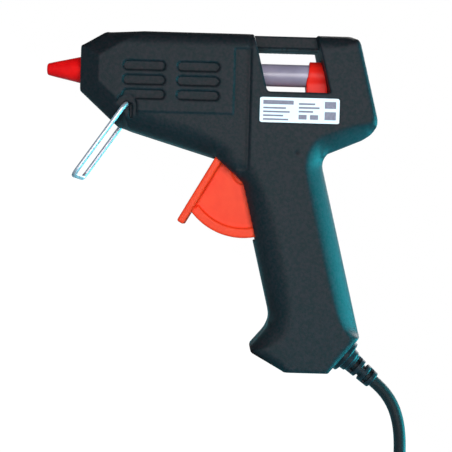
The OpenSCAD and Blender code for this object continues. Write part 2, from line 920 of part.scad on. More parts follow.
module trigger() {
    color(c_trigger)
        park()
            difference() {
                union() {
                    // front plate
                    flat_y([plate_low, plate_low + plate_back, plate_top + plate_back, plate_top],
                        plate_w);
                    // web from the plate back into the handle
                    intersection() {
                        flat_y(sector(rib_r, 150, 294), web_w - 3);
                        flat_y([plate_low + plate_back * 0.5, [32, -60], [75, -60], [75, -24],
                            plate_top + plate_back * 0.5], far);
                    }
                    // curved rib along the web's lower edge
                    intersection() {
                        difference() {
                            rod_y([pivot_x, -pivot_drop], rib_r, -web_w / 2, web_w / 2);
                            rod_y([pivot_x, -pivot_drop], rib_in, -far, far);
                        }
                        flat_y(sector(far, web_from, 294), far);
                        flat_y([plate_low + plate_back * 0.5, [32, -60], [75, -60], [75, -24],
                            plate_top + plate_back * 0.5], far);
                    }
                    rod_y([pivot_x, -pivot_drop], 3.6, -web_w / 2, web_w / 2);
                    // arm up to the drive pin
                    flat_y([[pivot_x - 3, -pivot_drop], [pivot_x + 3, -pivot_drop],
                        [drive_x + 1.4, drive_z], [drive_x - 1.4, drive_z]], arm_w);
                    rod_y([drive_x, drive_z], drive_r, -cheek_w / 2, cheek_w / 2);
                }
                rod_y([pivot_x, -pivot_drop], pin_r + pin_gap, -far, far);
            }
}

module trigger_pin() {
    color(c_steel)
        park()
            rod_y([pivot_x, -pivot_drop], pin_r, -half_w + 2.7, half_w - 2.7);
}

// Compression spring between the right shell's seat and the carriage's lug
spring_route = [for (i = [0:spring_turns * 12])
    let (t = i / (spring_turns * 12), end = spring_wire / 2 + 0.05)
    [spring_front + end + (spring_rear - spring_front - 2 * end) * t,
        spring_y + spring_r * cos(360 * spring_turns * t),
        spring_z + spring_r * sin(360 * spring_turns * t)]];

module return_spring() {
    color(c_steel)
        park()
            tube(spring_route, spring_wire / 2, 6);
}

// ---- Wire stand ----

// Quarter bend of the wire, from the point before the corner
module wire_bend(corner, turn) {
    translate(corner)
        rotate([0, 0, turn])
            rotate_extrude(angle = 90)
                translate([wire_bend_r, 0])
                    circle(wire_r);
}

// Straight wire between two points of the x-y plane
module wire(a, b) {
    translate([a[0], a[1], 0])
        rotate([0, 0, atan2(b[1] - a[1], b[0] - a[0])])
            rod_x(wire_r, 0, norm(b - a));
}

module wire_stand() {
    color(c_steel)
        park()
            translate(stand_pivot)
                rotate([0, 180 - stand_angle, 0])
                    mirror([0, 0, 1])
                        for (s = [0, 1])
                            mirror([0, s, 0]) {
                                wire([0, stand_reach], [0, leg_y - wire_bend_r]);
                                wire_bend([wire_bend_r, leg_y - wire_bend_r], 90);
                                wire([wire_bend_r, leg_y], [stand_len - wire_bend_r, leg_y]);
                                wire_bend([stand_len - wire_bend_r, leg_y - wire_bend_r], 0);
                                wire([stand_len, leg_y - wire_bend_r], [stand_len, 0]);
                            }
}

// ---- Label ----

label_x = 70.1;
label_z = -12.3;
label_t = 0.15;
label_low = [label_x - label_len / 2, -half_w, label_z - label_h / 2];
label_high = [label_x + label_len / 2, -half_w + 0.3, label_z + label_h / 2];
label_outline = [[-label_len / 2, -label_h / 2, 1], [label_len / 2, -label_h / 2, 1],
    [label_len / 2, label_h / 2, 1], [-label_len / 2, label_h / 2, 1]];

module rating_label() {
    color(c_label)
        park()
            translate([label_x, label_high[1] - label_t / 2, label_z])
                side_slab(label_outline, label_t);
}

// ---- Cord side of the butt ----

relief_row = [5.4, 8.1, 10.8];

module strain_relief() {
    color(c_black)
        park()
            at_gland()
                difference() {
                    union() {
                        rod_x(4.6, -3.5, -wall - 0.05);
                        rod_x(relief_root_r - 0.25, -wall - 0.1, 0.1);
                        rod_x(flange_r, 0.05, relief_out);
                        rod_x(relief_root_r, relief_out - eps, relief_out + relief_len, relief_tip_r);
                    }
                    rod_x(cord_r + pin_gap, -10, 30);
                    // slots between the sleeve's rings, each row a quarter turn on
                    for (i = [0:len(relief_row) - 1])
                        rotate([90 * i, 0, 0])
                            for (s = [-1, 1])
                                box([relief_row[i], s > 0 ? 0.9 : -5, -5],
                                    [relief_row[i] + 1.2, s > 0 ? 5 : -0.9, 5]);
                }
}

module cord_clamp() {
    color([0.5, 0.5, 0.48])
        park()
            at_gland()
                difference() {
                    box([clamp_s - 2.5, cord_r + 0.05, -clamp_t - 2.4],
                        [clamp_s + 2.5, cord_r + 2.2, clamp_t + 2.4]);
                    for (t = [-clamp_t, clamp_t])
                        rod_y([clamp_s, t], screw_r + 0.15, 0, 10);
                }
}

module cord_clamp_screws() {
    color(c_steel)
        park()
            at_gland()
                for (t = [-clamp_t, clamp_t]) {
                    rod_y([clamp_s, t], screw_r, -6.5, cord_r + 2.25);
                    rod_y([clamp_s, t], screw_head_r - 0.1, cord_r + 2.22, cord_r + 3.8);
                }
}

module cord_jacket_end() {
    color(c_black)
        park()
            at_gland()
                rod_x(cord_r, -jacket_in, relief_out + relief_len);
}

function across(side, route) = [for (p = route) [p[0], side * p[1], p[2]]];

lead_route = [[tab_end + 0.3, 2.4, -10.4], [42, 5, -12], [45, 7.4, -16], [49, 8.4, -21],
    [55, 8.6, -24.6], [61, 8.4, -28], [65, 8, -34], [66.5, 7, -44], [67, 5.2, -55],
    [connector_x, connector_y, connector_z + 0.3]];
core_route = [[connector_x + 2.2, connector_y, connector_z - 9], [72, 2.8, -78.2],
    [73.6, 1.7, -79.4], [75.5, 0.9, -80.1]];

module live_lead() {
    color(c_live)
        park()
            tube(across(1, lead_route), lead_r);
}

module neutral_lead() {
    color(c_neutral)
        park()
            tube(across(-1, lead_route), lead_r);
}

module live_core() {
    color(c_live)
        park()
            tube(across(1, core_route), lead_r);
}

module neutral_core() {
    color(c_neutral)
        park()
            tube(across(-1, core_route), lead_r);
}

module wire_connectors() {
    color(c_silicone)
        park()
            for (s = [-1, 1])
                translate([connector_x, s * connector_y, connector_z])
                    rotate([0, 180 - grip_lean, 0])
                        cylinder(h = connector_len, r = 1.9);
}

// ---- Cord, hank and plug ----

module power_cord() {
    color(c_black)
        on_floor()
            tube(cord_route, cord_r, 10);
}

module cord_tail() {
    color(c_black)
        on_floor()
            tube(tail_route, cord_r, 10);
}

module stadium(r) {
    circle(r);
    translate([hank_straight, 0])
        circle(r);
    translate([0, -r])
        square([hank_straight, 2 * r]);
}

module cord_hank() {
    color(c_black)
        on_floor()
            translate([hank_x, 0, hank_z])
                linear_extrude(hank_h)
                    difference() {
                        stadium(hank_half_w);
                        stadium(fold_r - cord_r);
                    }
}

module hank_tie() {
    color(c_black)
        on_floor()
            translate([tie_x, 0, 0])
                difference() {
                    box([0, -hank_half_w - tie_t, 0],
                        [tie_w, hank_half_w + tie_t, hank_h + 2 * tie_t]);
                    box([-1, -hank_half_w - fit, tie_t - fit],
                        [tie_w + 1, hank_half_w + fit, hank_h + tie_t + fit]);
                }
}

plug_outline = [[0, -6, 3], [7, -6.5, 3], [14, -plug_w / 2, 5], [plug_len, -plug_w / 2, 4],
    [plug_len, plug_w / 2, 4], [14, plug_w / 2, 5], [7, 6.5, 3], [0, 6, 3]];

module plug_body() {
    color(c_black)
        on_floor()
            translate([plug_x, plug_y, plug_z])
                difference() {
                    translate([0, 0, -plug_h / 2])
                        linear_extrude(plug_h)
                            polygon(rounded(plug_outline));
                    for (s = [-1, 1])
                        translate([0, s * plug_pin_gap / 2, 0])
                            rod_x(plug_root_r + fit, plug_len - 8, plug_len + 1);
                }
}

module plug_pins() {
    color(c_brass)
        on_floor()
            translate([plug_x, plug_y, plug_z])
                for (s = [-1, 1])
                    translate([0, s * plug_pin_gap / 2, 0]) {
                        rod_x(plug_root_r, plug_len - 7.9, plug_len + eps);
                        rod_x(plug_pin_r, plug_len, plug_len + plug_pin_len);
                    }
}

left_housing();
right_housing();
housing_screws();
nozzle_cover();
nozzle();
heating_barrel();
heater_element();
contact_plates();
heater_insulation();
heater_clip();
barrel_support();
inlet_sleeve();
sleeve_clip();
glue_stick();
feed_carriage();
stick_gripper();
trigger();
trigger_pin();
return_spring();
wire_stand();
rating_label();
strain_relief();
cord_clamp();
cord_clamp_screws();
cord_jacket_end();
live_lead();
neutral_lead();
wire_connectors();
live_core();
neutral_core();
power_cord();
cord_hank();
cord_tail();
hank_tie();
plug_body();
plug_pins();
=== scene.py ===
import json
import math

import bpy
import numpy as np
from mathutils import Matrix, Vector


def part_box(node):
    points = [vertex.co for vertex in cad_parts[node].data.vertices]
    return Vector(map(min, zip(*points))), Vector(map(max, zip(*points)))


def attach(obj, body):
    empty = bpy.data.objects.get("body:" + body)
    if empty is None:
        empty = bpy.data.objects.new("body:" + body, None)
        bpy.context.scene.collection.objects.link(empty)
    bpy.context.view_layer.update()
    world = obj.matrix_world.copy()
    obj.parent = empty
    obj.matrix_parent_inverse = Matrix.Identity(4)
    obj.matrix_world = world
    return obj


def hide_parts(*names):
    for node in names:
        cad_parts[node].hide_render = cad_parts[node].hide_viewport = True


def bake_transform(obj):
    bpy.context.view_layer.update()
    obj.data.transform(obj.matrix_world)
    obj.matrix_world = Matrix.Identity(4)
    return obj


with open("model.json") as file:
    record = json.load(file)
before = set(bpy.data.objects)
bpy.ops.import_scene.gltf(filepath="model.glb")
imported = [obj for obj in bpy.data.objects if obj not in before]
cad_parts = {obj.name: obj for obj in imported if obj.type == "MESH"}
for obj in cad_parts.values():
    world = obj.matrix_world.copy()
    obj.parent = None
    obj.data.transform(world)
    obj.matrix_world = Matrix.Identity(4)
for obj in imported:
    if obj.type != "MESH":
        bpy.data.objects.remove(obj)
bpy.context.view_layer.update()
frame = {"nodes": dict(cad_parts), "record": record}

# ---- Place and view ----
# The gun is described in its own axes, in millimetres: x back along the glue stick from the nose,
# y across, z up. It stands parked, nose down, so its axes are found from its stick inlet.
mounts = {mount["name"]: mount for mount in frame["record"]["mounts"]}
inlet_x = 89.82
gun_back = np.array(mounts["stick_inlet"]["axis"], float)
gun_up = np.array((-gun_back[2], 0.0, gun_back[0]))
gun_across = np.array((0.0, 1.0, 0.0))
gun_zero = np.array(mounts["stick_inlet"]["pos_m"]) - gun_back * inlet_x / 1000
pivots = {joint["name"]: joint for joint in frame["record"]["behaviour"]["joints"]}


def parked(points):
    """Points in the gun's own millimetres as metres where it stands: its zero point plus
    x times the stick's way back, y times across and z times the way up from the stick."""
    p = np.asarray(points, float) / 1000
    return gun_zero + p[..., :1] * gun_back + p[..., 1:2] * gun_across + p[..., 2:] * gun_up


def in_gun(point):
    """The other way round: a place in metres, in the gun's own millimetres."""
    p = (np.asarray(point, float) - gun_zero) * 1000
    return np.array((p @ gun_back, p @ gun_across, p @ gun_up))


eye = parked((47.88, -422, -49.35))
eye_right = 0.9996 * gun_back + 0.0279 * gun_up
eye_up = 0.9996 * gun_up - 0.0279 * gun_back
eye_frame = Matrix.Identity(4)
for column, way in enumerate((eye_right, eye_up, -gun_across, eye)):
    for row in range(3):
        eye_frame[row][column] = way[row]
camera = bpy.data.objects.new("camera", bpy.data.cameras.new("camera"))
camera.data.sensor_fit = "HORIZONTAL"
camera.data.angle = 2 * math.atan(226 / 1298)
camera.data.clip_start = 0.01
camera.matrix_world = eye_frame
bpy.context.scene.collection.objects.link(camera)
bpy.context.scene.camera = camera
bpy.context.scene.view_settings.view_transform = "Standard"


# ---- Mains cord ----
# A round 4 mm two-core lead in a black PVC jacket. It leaves the strain relief, drops to the table,
# is folded five times and a half round in a flat hank, and rises to the plug that lies on the hank.
cord_r = 2.0
hank_front, hank_back = 194.0, 254.0
lane_in, lane_out = 12.0, 16.0
layer_z = (2.6, 6.6, 10.6)
cord_run = [[137.8, 0, 20.7], [141.5, 0, 20.8], [145.5, 0, 20.3], [149.5, -0.4, 18.9],
            [153.5, -1.5, 16.4], [157, -3.2, 13.2], [160, -5.2, 9.8], [163, -7.4, 6.8],
            [166.5, -9.8, 4.4], [170.5, -12.1, 3.1], [174.5, -13.9, 2.6], [179, -15.3, 2.6],
            [186, -16, 2.6]]
cord_rise = [[194, -12, 10.6], [198.5, -12, 10.9], [203, -11.6, 11.8], [207.5, -10.6, 13.5],
             [212, -8.9, 15.8], [216, -7, 17.8], [220, -5.2, 19.4], [223, -4.2, 20],
             [225, -4, 20.05]]
hank_high = np.array(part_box("cord_hank")[1])
# the cord's own axes: x counted so that the hank's rear end is at its rear fold plus its radius
lay_zero = np.array((hank_high[0] - (hank_back + lane_out + cord_r) / 1000, 0.0, 0.0))


def on_floor(points):
    """Points along the cord in its own millimetres, as metres: shifted along x only."""
    return lay_zero + np.asarray(points, float) / 1000


def eased(t):
    """Smooth step from 0 to 1: three t squared less two t cubed."""
    t = np.clip(t, 0.0, 1.0)
    return t * t * (3 - 2 * t)


def smooth_through(points, step):
    """Points every step along the Catmull-Rom curve through the given ones: each span is the cubic
    whose end slopes are half the way between the neighbours."""
    p = np.asarray(points, float)
    p = np.vstack([2 * p[0] - p[1], p, 2 * p[-1] - p[-2]])
    t = np.linspace(0, 1, 24, endpoint=False)[:, None]
    spans = [0.5 * (2 * b + (c - a) * t + (2 * a - 5 * b + 4 * c - d) * t ** 2
                    + (3 * b - a - 3 * c + d) * t ** 3)
             for a, b, c, d in zip(p[:-3], p[1:-2], p[2:-1], p[3:])]
    fine = np.vstack([*spans, p[-2:-1]])
    along = np.concatenate([[0], np.cumsum(np.linalg.norm(np.diff(fine, axis=0), axis=1))])
    places = np.linspace(0, along[-1], max(2, round(along[-1] / step)) + 1)
    return np.stack([np.interp(places, along, fine[:, k]) for k in range(3)], 1)


def hank_turns():
    """The folded turns: runs along x at y = -lane and y = lane, joined by half circles. A turn changes
    its lane or its layer along a stretch of the run on the +y side, or, the first time, round a fold."""
    # lanes of the five turns, and what each does on its way back: (lane before, lane after,
    # layer before, layer after, where the change starts, its length)
    turns = [(lane_out, lane_out, 0, 0, 0, 1), (lane_in, lane_in, 0, 1, 214, 18),
             (lane_in, lane_out, 1, 1, 234, 18), (lane_out, lane_out, 1, 2, 254, 18),
             (lane_out, lane_in, 2, 2, 254, 18)]
    points = []
    for number, (lane, lane_next, low, high, start, length) in enumerate(turns):
        z = layer_z[low]
        run = np.linspace(hank_front, hank_back, 17)[:-1]
        points.append(np.stack([run, 0 * run - lane, 0 * run + z], 1))
        turn = np.radians(np.linspace(-90, 90, 17))[:-1]
        points.append(np.stack([hank_back + lane * np.cos(turn), lane * np.sin(turn), 0 * turn + z], 1))
        run = np.linspace(hank_back, hank_front, 21)[:-1]
        share = eased((start - run) / length) * math.pi / 2
        if number == 3:
            y, rise = 0 * run + lane, 1 - np.cos(share)
        elif number == 4:
            y, rise = lane + (lane_next - lane) * np.sin(share), 0 * share
        else:
            y = lane + (lane_next - lane) * eased((start - run) / length)
            rise = eased((start - run) / length)
        points.append(np.stack([run, y, z + (layer_z[high] - z) * rise], 1))
        turn = np.radians(np.linspace(90, 270, 17))[:-1]
        after = lane_in if number == 0 else lane_next
        r = lane_next + (after - lane_next) * eased((turn / math.pi - 0.5))
        points.append(np.stack([hank_front + r * np.cos(turn), r * np.sin(turn),
                                0 * turn + layer_z[high]], 1))
    return np.vstack(points)


cord_line = np.vstack([smooth_through(cord_run + [[190, -16, 2.6]], 2.0), hank_turns(),
                       smooth_through(cord_rise, 2.0)])
cord_line = on_floor(cord_line)
cord_curve = bpy.data.curves.new("mains_cord", "CURVE")
cord_curve.dimensions = "3D"
cord_curve.bevel_depth = cord_r / 1000
cord_curve.bevel_resolution = 5
cord_spline = cord_curve.splines.new("POLY")
cord_spline.points.add(len(cord_line) - 1)
cord_spline.points.foreach_set("co", np.column_stack([cord_line, np.ones(len(cord_line))]).ravel())
cord_spline.use_smooth = True
mains_cord = bpy.data.objects.new("mains_cord", cord_curve)
bpy.context.scene.collection.objects.link(mains_cord)


def grain_group():
    """Fine moulded grain as a node group: two sizes of noise on Object coordinates. It puts out the
    Height of the grain and a Tone from 0 to 1 that drifts slowly over the surface."""
    group = bpy.data.node_groups.new("moulded_grain", "ShaderNodeTree")
    group.interface.new_socket("Grain Size", in_out="INPUT", socket_type="NodeSocketFloat")
    group.interface.new_socket("Patch Size", in_out="INPUT", socket_type="NodeSocketFloat")
    group.interface.new_socket("Height", in_out="OUTPUT", socket_type="NodeSocketFloat")
    group.interface.new_socket("Tone", in_out="OUTPUT", socket_type="NodeSocketFloat")
    nodes, links = group.nodes, group.links
    entry, leave = nodes.new("NodeGroupInput"), nodes.new("NodeGroupOutput")
    place = nodes.new("ShaderNodeTexCoord")
    for size, sockets, detail in (("Grain Size", "Height", 2.0), ("Patch Size", "Tone", 3.0)):
        scale = nodes.new("ShaderNodeMath")
        scale.operation = "DIVIDE"
        scale.inputs[0].default_value = 1.0
        links.new(entry.outputs[size], scale.inputs[1])
        noise = nodes.new("ShaderNodeTexNoise")
        noise.inputs["Detail"].default_value = detail
        links.new(place.outputs["Object"], noise.inputs["Vector"])
        links.new(scale.outputs[0], noise.inputs["Scale"])
        links.new(noise.outputs["Fac"], leave.inputs[sockets])
    return group


moulded_grain = grain_group()


def finish(name, colour, second=None, rough=0.5, rough_spread=0.08, metal=0.0, grain=0.0003,
           depth=0.00002, patch=0.003, **constant):
    """A material with its Principled shader: the base colour and the roughness drift between two values
    by the group's Tone, and its Height raises a bump. Constant values sit on the shader's sockets."""
    material = bpy.data.materials.new(name)
    material.use_nodes = True
    nodes, links = material.node_tree.nodes, material.node_tree.links
    shader = next(n for n in nodes if n.type == "BSDF_PRINCIPLED")
    group = nodes.new("ShaderNodeGroup")
    group.node_tree = moulded_grain
    group.inputs["Grain Size"].default_value = grain
    group.inputs["Patch Size"].default_value = patch
    mix = nodes.new("ShaderNodeMix")
    mix.data_type = "RGBA"
    spread = nodes.new("ShaderNodeMapRange")
    spread.inputs["From Min"].default_value, spread.inputs["From Max"].default_value = 0.35, 0.65
    links.new(group.outputs["Tone"], spread.inputs["Value"])
    links.new(spread.outputs["Result"], mix.inputs["Factor"])
    mix.inputs["A"].default_value = (*colour, 1)
    mix.inputs["B"].default_value = (*(second or [0.85 * c for c in colour]), 1)
    links.new(mix.outputs["Result"], shader.inputs["Base Color"])
    gloss = nodes.new("ShaderNodeMapRange")
    gloss.inputs["To Min"].default_value = rough - rough_spread
    gloss.inputs["To Max"].default_value = rough + rough_spread
    links.new(group.outputs["Height"], gloss.inputs["Value"])
    links.new(gloss.outputs["Result"], shader.inputs["Roughness"])
    bump = nodes.new("ShaderNodeBump")
    bump.inputs["Distance"].default_value = depth
    bump.inputs["Strength"].default_value = 1.0
    links.new(group.outputs["Height"], bump.inputs["Height"])
    links.new(bump.outputs["Normal"], shader.inputs["Normal"])
    shader.inputs["Metallic"].default_value = metal
    for socket, value in constant.items():
        shader.inputs[socket.replace("_", " ")].default_value = value
    return material


cord_jacket = finish("cord_jacket", (0.008, 0.01, 0.012), (0.013, 0.016, 0.019), rough=0.5, grain=0.0005,
                     depth=0.00003, patch=0.012, Specular_IOR_Level=0.12)
cord_curve.materials.append(cord_jacket)
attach(mains_cord, "housing")
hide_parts("power_cord", "cord_hank", "cord_tail")
frame["nodes"]["cord_jacket_end"].data.materials.clear()
frame["nodes"]["cord_jacket_end"].data.materials.append(cord_jacket)

# ---- Table and light ----
# A plain white table under the gun and a white surround, with a broad soft light in front, one behind,
# and a cool one low on the right that only the rounded rear edges catch.
table_mesh = bpy.data.meshes.new("table")
table_mesh.from_pydata([(-1.5, -1.5, -0.0002), (1.5, -1.5, -0.0002), (1.5, 1.5, -0.0002),
                        (-1.5, 1.5, -0.0002)], [], [(0, 1, 2, 3)])
table = bpy.data.objects.new("table", table_mesh)
bpy.context.scene.collection.objects.link(table)
table_white = bpy.data.materials.new("table_white")
table_white.use_nodes = True
table_nodes, table_links = table_white.node_tree.nodes, table_white.node_tree.links
table_matt = next(n for n in table_nodes if n.type == "BSDF_PRINCIPLED")
table_matt.inputs["Base Color"].default_value = (0.25, 0.27, 0.29, 1)
table_matt.inputs["Roughness"].default_value = 0.8
table_bright = table_nodes.new("ShaderNodeEmission")
table_bright.inputs["Strength"].default_value = 1.05
table_ray = table_nodes.new("ShaderNodeLightPath")
table_mix = table_nodes.new("ShaderNodeMixShader")
table_links.new(table_ray.outputs["Is Camera Ray"], table_mix.inputs["Fac"])
table_links.new(table_matt.outputs[0], table_mix.inputs[1])
table_links.new(table_bright.outputs[0], table_mix.inputs[2])
table_out = next(n for n in table_nodes if n.type == "OUTPUT_MATERIAL")
table_links.new(table_mix.outputs[0], table_out.inputs["Surface"])
table_mesh.materials.append(table_white)

world = bpy.data.worlds.new("white_surround")
world.use_nodes = True
world_nodes, world_links = world.node_tree.nodes, world.node_tree.links
seen_white = world_nodes.new("ShaderNodeBackground")
seen_white.inputs["Color"].default_value = (1, 1, 1, 1)
light_grey = next(n for n in world_nodes if n.type == "BACKGROUND" and n != seen_white)
light_grey.inputs["Color"].default_value = (1, 1, 1, 1)
light_grey.inputs["Strength"].default_value = 0.04
which_ray = world_nodes.new("ShaderNodeLightPath")
surround = world_nodes.new("ShaderNodeMixShader")
world_links.new(which_ray.outputs["Is Camera Ray"], surround.inputs["Fac"])
world_links.new(light_grey.outputs[0], surround.inputs[1])
world_links.new(seen_white.outputs[0], surround.inputs[2])
world_out = next(n for n in world_nodes if n.type == "OUTPUT_WORLD")
world_links.new(surround.outputs[0], world_out.inputs["Surface"])
bpy.context.scene.world = world


def soft_light(name, place, target, width, power, colour):
    """A square area light at a place in the gun's own axes, turned to face another."""
    light = bpy.data.lights.new(name, "AREA")
    light.shape, light.size, light.energy, light.color = "SQUARE", width, power, colour
    lamp = bpy.data.objects.new(name, light)
    here, there = parked(place), parked(target)
    back = (here - there) / np.linalg.norm(here - there)
    side = np.cross(gun_up, back)
    side /= np.linalg.norm(side)
    turned = Matrix.Identity(4)
    for column, way in enumerate((side, np.cross(back, side), back, here)):
        for row in range(3):
            turned[row][column] = way[row]
    lamp.matrix_world = turned
    bpy.context.scene.collection.objects.link(lamp)


gun_middle = (45, 0, -40)
soft_light("front_light", (60, -570, -10), gun_middle, 0.4, 4.5, (1, 0.96, 0.95))
soft_light("right_cool_light", (430, 25, -120), gun_middle, 0.3, 7.4, (0.05, 0.87, 1))
soft_light("back_light", (330, 450, 220), gun_middle, 0.4, 4.0, (1, 0.98, 0.97))


# ---- Housing shells ----
# Two half shells moulded in near-black spark-textured plastic, 2 mm thick, that meet on the gun's
# middle plane. The left one has the label recess; the right one has the counterbores for six screws.
half_width = 13.0
shell_wall = 2.0
fit_r = 0.35  # how far a cut edge is broken
boss_r, pilot_r, hole_r, counterbore_r = 2.7, 1.22, 1.35, 2.5
vent_half, vent_run, vent_deep = 1.465, 13.4, 0.9
pocket_r, pocket_deep = 3.4, 1.1
collar_r, inlet_r = 5.3, 4.2
lean = math.tan(math.radians(14))
# side view, clockwise from the nose: x, z, corner radius, and how far the edge that starts there is
# rounded over towards the sides
body_corners = [(0, 7.2, 0.6, 2.5), (8.1, 12, 1.5, 5), (88.4, 12, 4, 1.8),
                (88.4 + 30.2 * lean, -18.2, 5.5, 5.5), (77.3, -26.2, 5, 6.6),
                (91.35, -83.4, 1.5, 1.6), (81.35, -95.2, 0.6, 1.2), (67.4, -95.2, 1, 3.5),
                (55.63, -88.64, 1.7, 6), (63.1, -79.9, 8, 9), (51.9, -34.3, 5, 4),
                (44.2, -27.7, 1, 8), (11.9, -18.2, 1.5, 2.5), (0, -7.4, 0.6, 0.8)]


def round_corners(corners):
    """Outline points with each corner replaced by the arc that touches both its edges: the arc's
    centre is on the bisector, radius over the sine of half the angle away from the corner."""
    c = np.array([corner[:2] for corner in corners], float)
    points = []
    for k, corner in enumerate(c):
        a, b = c[k - 1] - corner, c[(k + 1) % len(c)] - corner
        a, b = a / np.hypot(*a), b / np.hypot(*b)
        half = math.acos(np.clip(a @ b, -1, 1)) / 2
        r = corners[k][2]
        centre = corner + (a + b) / np.hypot(*(a + b)) * r / math.sin(half)
        start, end = corner + a * r / math.tan(half) - centre, corner + b * r / math.tan(half) - centre
        first = math.atan2(start[1], start[0])
        turn = (math.atan2(end[1], end[0]) - first + math.pi) % (2 * math.pi) - math.pi
        angles = first + turn * np.linspace(0, 1, max(2, round(abs(turn) * 5)) + 1)
        points.append(centre + r * np.stack([np.cos(angles), np.sin(angles)], 1))
    return np.vstack(points)


def edge_distances(u, v, outline):
    """Distance from (u, v) to each edge of a closed outline in turn: the length of what is left of the
    way from the edge's start after its part along the edge, kept within the edge, is taken off."""
    ends = np.roll(outline, -1, axis=0)
    for start, end in zip(outline, ends):
        along = end - start
        share = ((u - start[0]) * along[0] + (v - start[1]) * along[1]) / (along @ along)
        share = np.clip(share, 0, 1)
        yield start, end, np.hypot(u - start[0] - share * along[0], v - start[1] - share * along[1])


def outline_distance(u, v, outline):
    """Signed distance to a closed outline, negative inside: the least edge distance, with its sign
    from how often a ray along u crosses the edges."""
    least, inside = np.full(np.broadcast(u, v).shape, 1e9), np.zeros(np.broadcast(u, v).shape, bool)
    for start, end, distance in edge_distances(u, v, outline):
        least = np.minimum(least, distance)
        if start[1] != end[1]:
            crossing_u = start[0] + (v - start[1]) * (end[0] - start[0]) / (end[1] - start[1])
            inside ^= ((start[1] > v) != (end[1] > v)) & (u < crossing_u)
    return np.where(inside, -least, least)


def joined(a, b, blend=0.0):
    """Both shapes: the lesser distance, filleted over the blend by a quadratic."""
    if not blend:
        return np.minimum(a, b)
    share = np.clip(0.5 + 0.5 * (b - a) / blend, 0, 1)
    return b + (a - b) * share - blend * share * (1 - share)


def common(a, b, blend=0.0):
    """What is in both shapes: the greater distance, its edge broken over the blend."""
    return -joined(-a, -b, blend)


def cut(a, b, blend=0.0):
    """The first shape less the second."""
    return common(a, -b, blend)


def rod(u, v, along, r, start, end):
    """Signed distance to a cylinder: the greater of radius less r and the way past either end."""
    return np.maximum(np.hypot(u, v) - r, np.maximum(start - along, along - end))


def block(x, y, z, low, high, r=0.0):
    """Signed distance to a box with rounded edges: past its faces drawn in by r, less r."""
    q = [np.abs(p - (a + b) / 2) - (b - a) / 2 + r for p, a, b in zip((x, y, z), low, high)]
    outside = np.sqrt(sum(np.maximum(p, 0) ** 2 for p in q))
    return outside + np.minimum(np.maximum(np.maximum(q[0], q[1]), q[2]), 0) - r


def slab(side, y, half, r):
    """Signed distance to an outline drawn across y, its edges rounded by r: the length of the two
    ways past the faces drawn in by r, less r."""
    p, q = side + r, np.abs(y) - half + r
    return np.hypot(np.maximum(p, 0), np.maximum(q, 0)) + np.minimum(np.maximum(p, q), 0) - r


def skin(name, shape, low, high, pitch):
    """Mesh of the surface where shape(x, y, z) is zero. One vertex stands in each grid cell that the
    surface crosses, at the mean of its edge crossings, and is then moved down the gradient onto the
    surface; one quad crosses each grid edge whose ends lie on different sides."""
    low = np.array(low, float)
    axes = [np.arange(a, b + pitch, pitch) for a, b in zip(low, high)]
    x, y, z = np.meshgrid(*axes, indexing="ij", sparse=True)
    field = np.ascontiguousarray(np.broadcast_to(shape(x, y, z), [len(a) for a in axes]))
    inside = field < 0
    count = sum(inside[i:i + field.shape[0] - 1, j:j + field.shape[1] - 1, k:k + field.shape[2] - 1]
                .astype(np.int8) for i in (0, 1) for j in (0, 1) for k in (0, 1))
    active = (count > 0) & (count < 8)
    number = np.full(active.shape, -1)
    number[active] = np.arange(active.sum())
    total, hits, quads = np.zeros((active.sum(), 3)), np.zeros(active.sum()), []
    for axis in range(3):
        near = [slice(None)] * 3
        past = [slice(None)] * 3
        near[axis], past[axis] = slice(None, -1), slice(1, None)
        a, b = field[tuple(near)], field[tuple(past)]
        place = np.argwhere((a < 0) != (b < 0))
        a, b = a[tuple(place.T)], b[tuple(place.T)]
        point = place.astype(float)
        point[:, axis] += a / (a - b)
        corners = []
        for shift_u, shift_v in ((0, 0), (1, 0), (1, 1), (0, 1)):
            cell = place.copy()
            cell[:, (axis + 1) % 3] -= shift_u
            cell[:, (axis + 2) % 3] -= shift_v
            cell = number[tuple(cell.T)]
            for k in range(3):
                total[:, k] += np.bincount(cell, point[:, k], len(total))
            hits += np.bincount(cell, minlength=len(total))
            corners.append(cell)
        quad = np.stack(corners, 1)
        quads.append(np.where((a < 0)[:, None], quad, quad[:, ::-1]))
    vertices = low + pitch * total / hits[:, None]
    for _ in range(3):
        here = shape(*vertices.T)
        gradient = np.stack([(shape(*(vertices + step).T) - shape(*(vertices - step).T)) / 0.04
                             for step in 0.02 * np.eye(3)], 1)
        steep = np.maximum((gradient ** 2).sum(1), 0.05)
        move = -gradient * (here / steep)[:, None]
        longest = np.maximum(np.linalg.norm(move, axis=1) / (0.3 * pitch), 1)
        vertices += move / longest[:, None]
    return surface(name, parked(vertices), np.vstack(quads))


def surface(name, vertices, faces):
    """A smooth-shaded object of the vertices, in metres, and faces of three or four corners."""
    mesh = bpy.data.meshes.new(name)
    faces = np.asarray(faces)
    mesh.vertices.add(len(vertices))
    mesh.vertices.foreach_set("co", np.asarray(vertices, float).ravel())
    mesh.loops.add(faces.size)
    mesh.loops.foreach_set("vertex_index", faces.ravel())
    mesh.polygons.add(len(faces))
    mesh.polygons.foreach_set("loop_start", np.arange(0, faces.size, faces.shape[1]))
    mesh.update(calc_edges=True)
    mesh.validate()
    mesh.shade_smooth()
    piece = bpy.data.objects.new(name, mesh)
    bpy.context.scene.collection.objects.link(piece)
    return piece


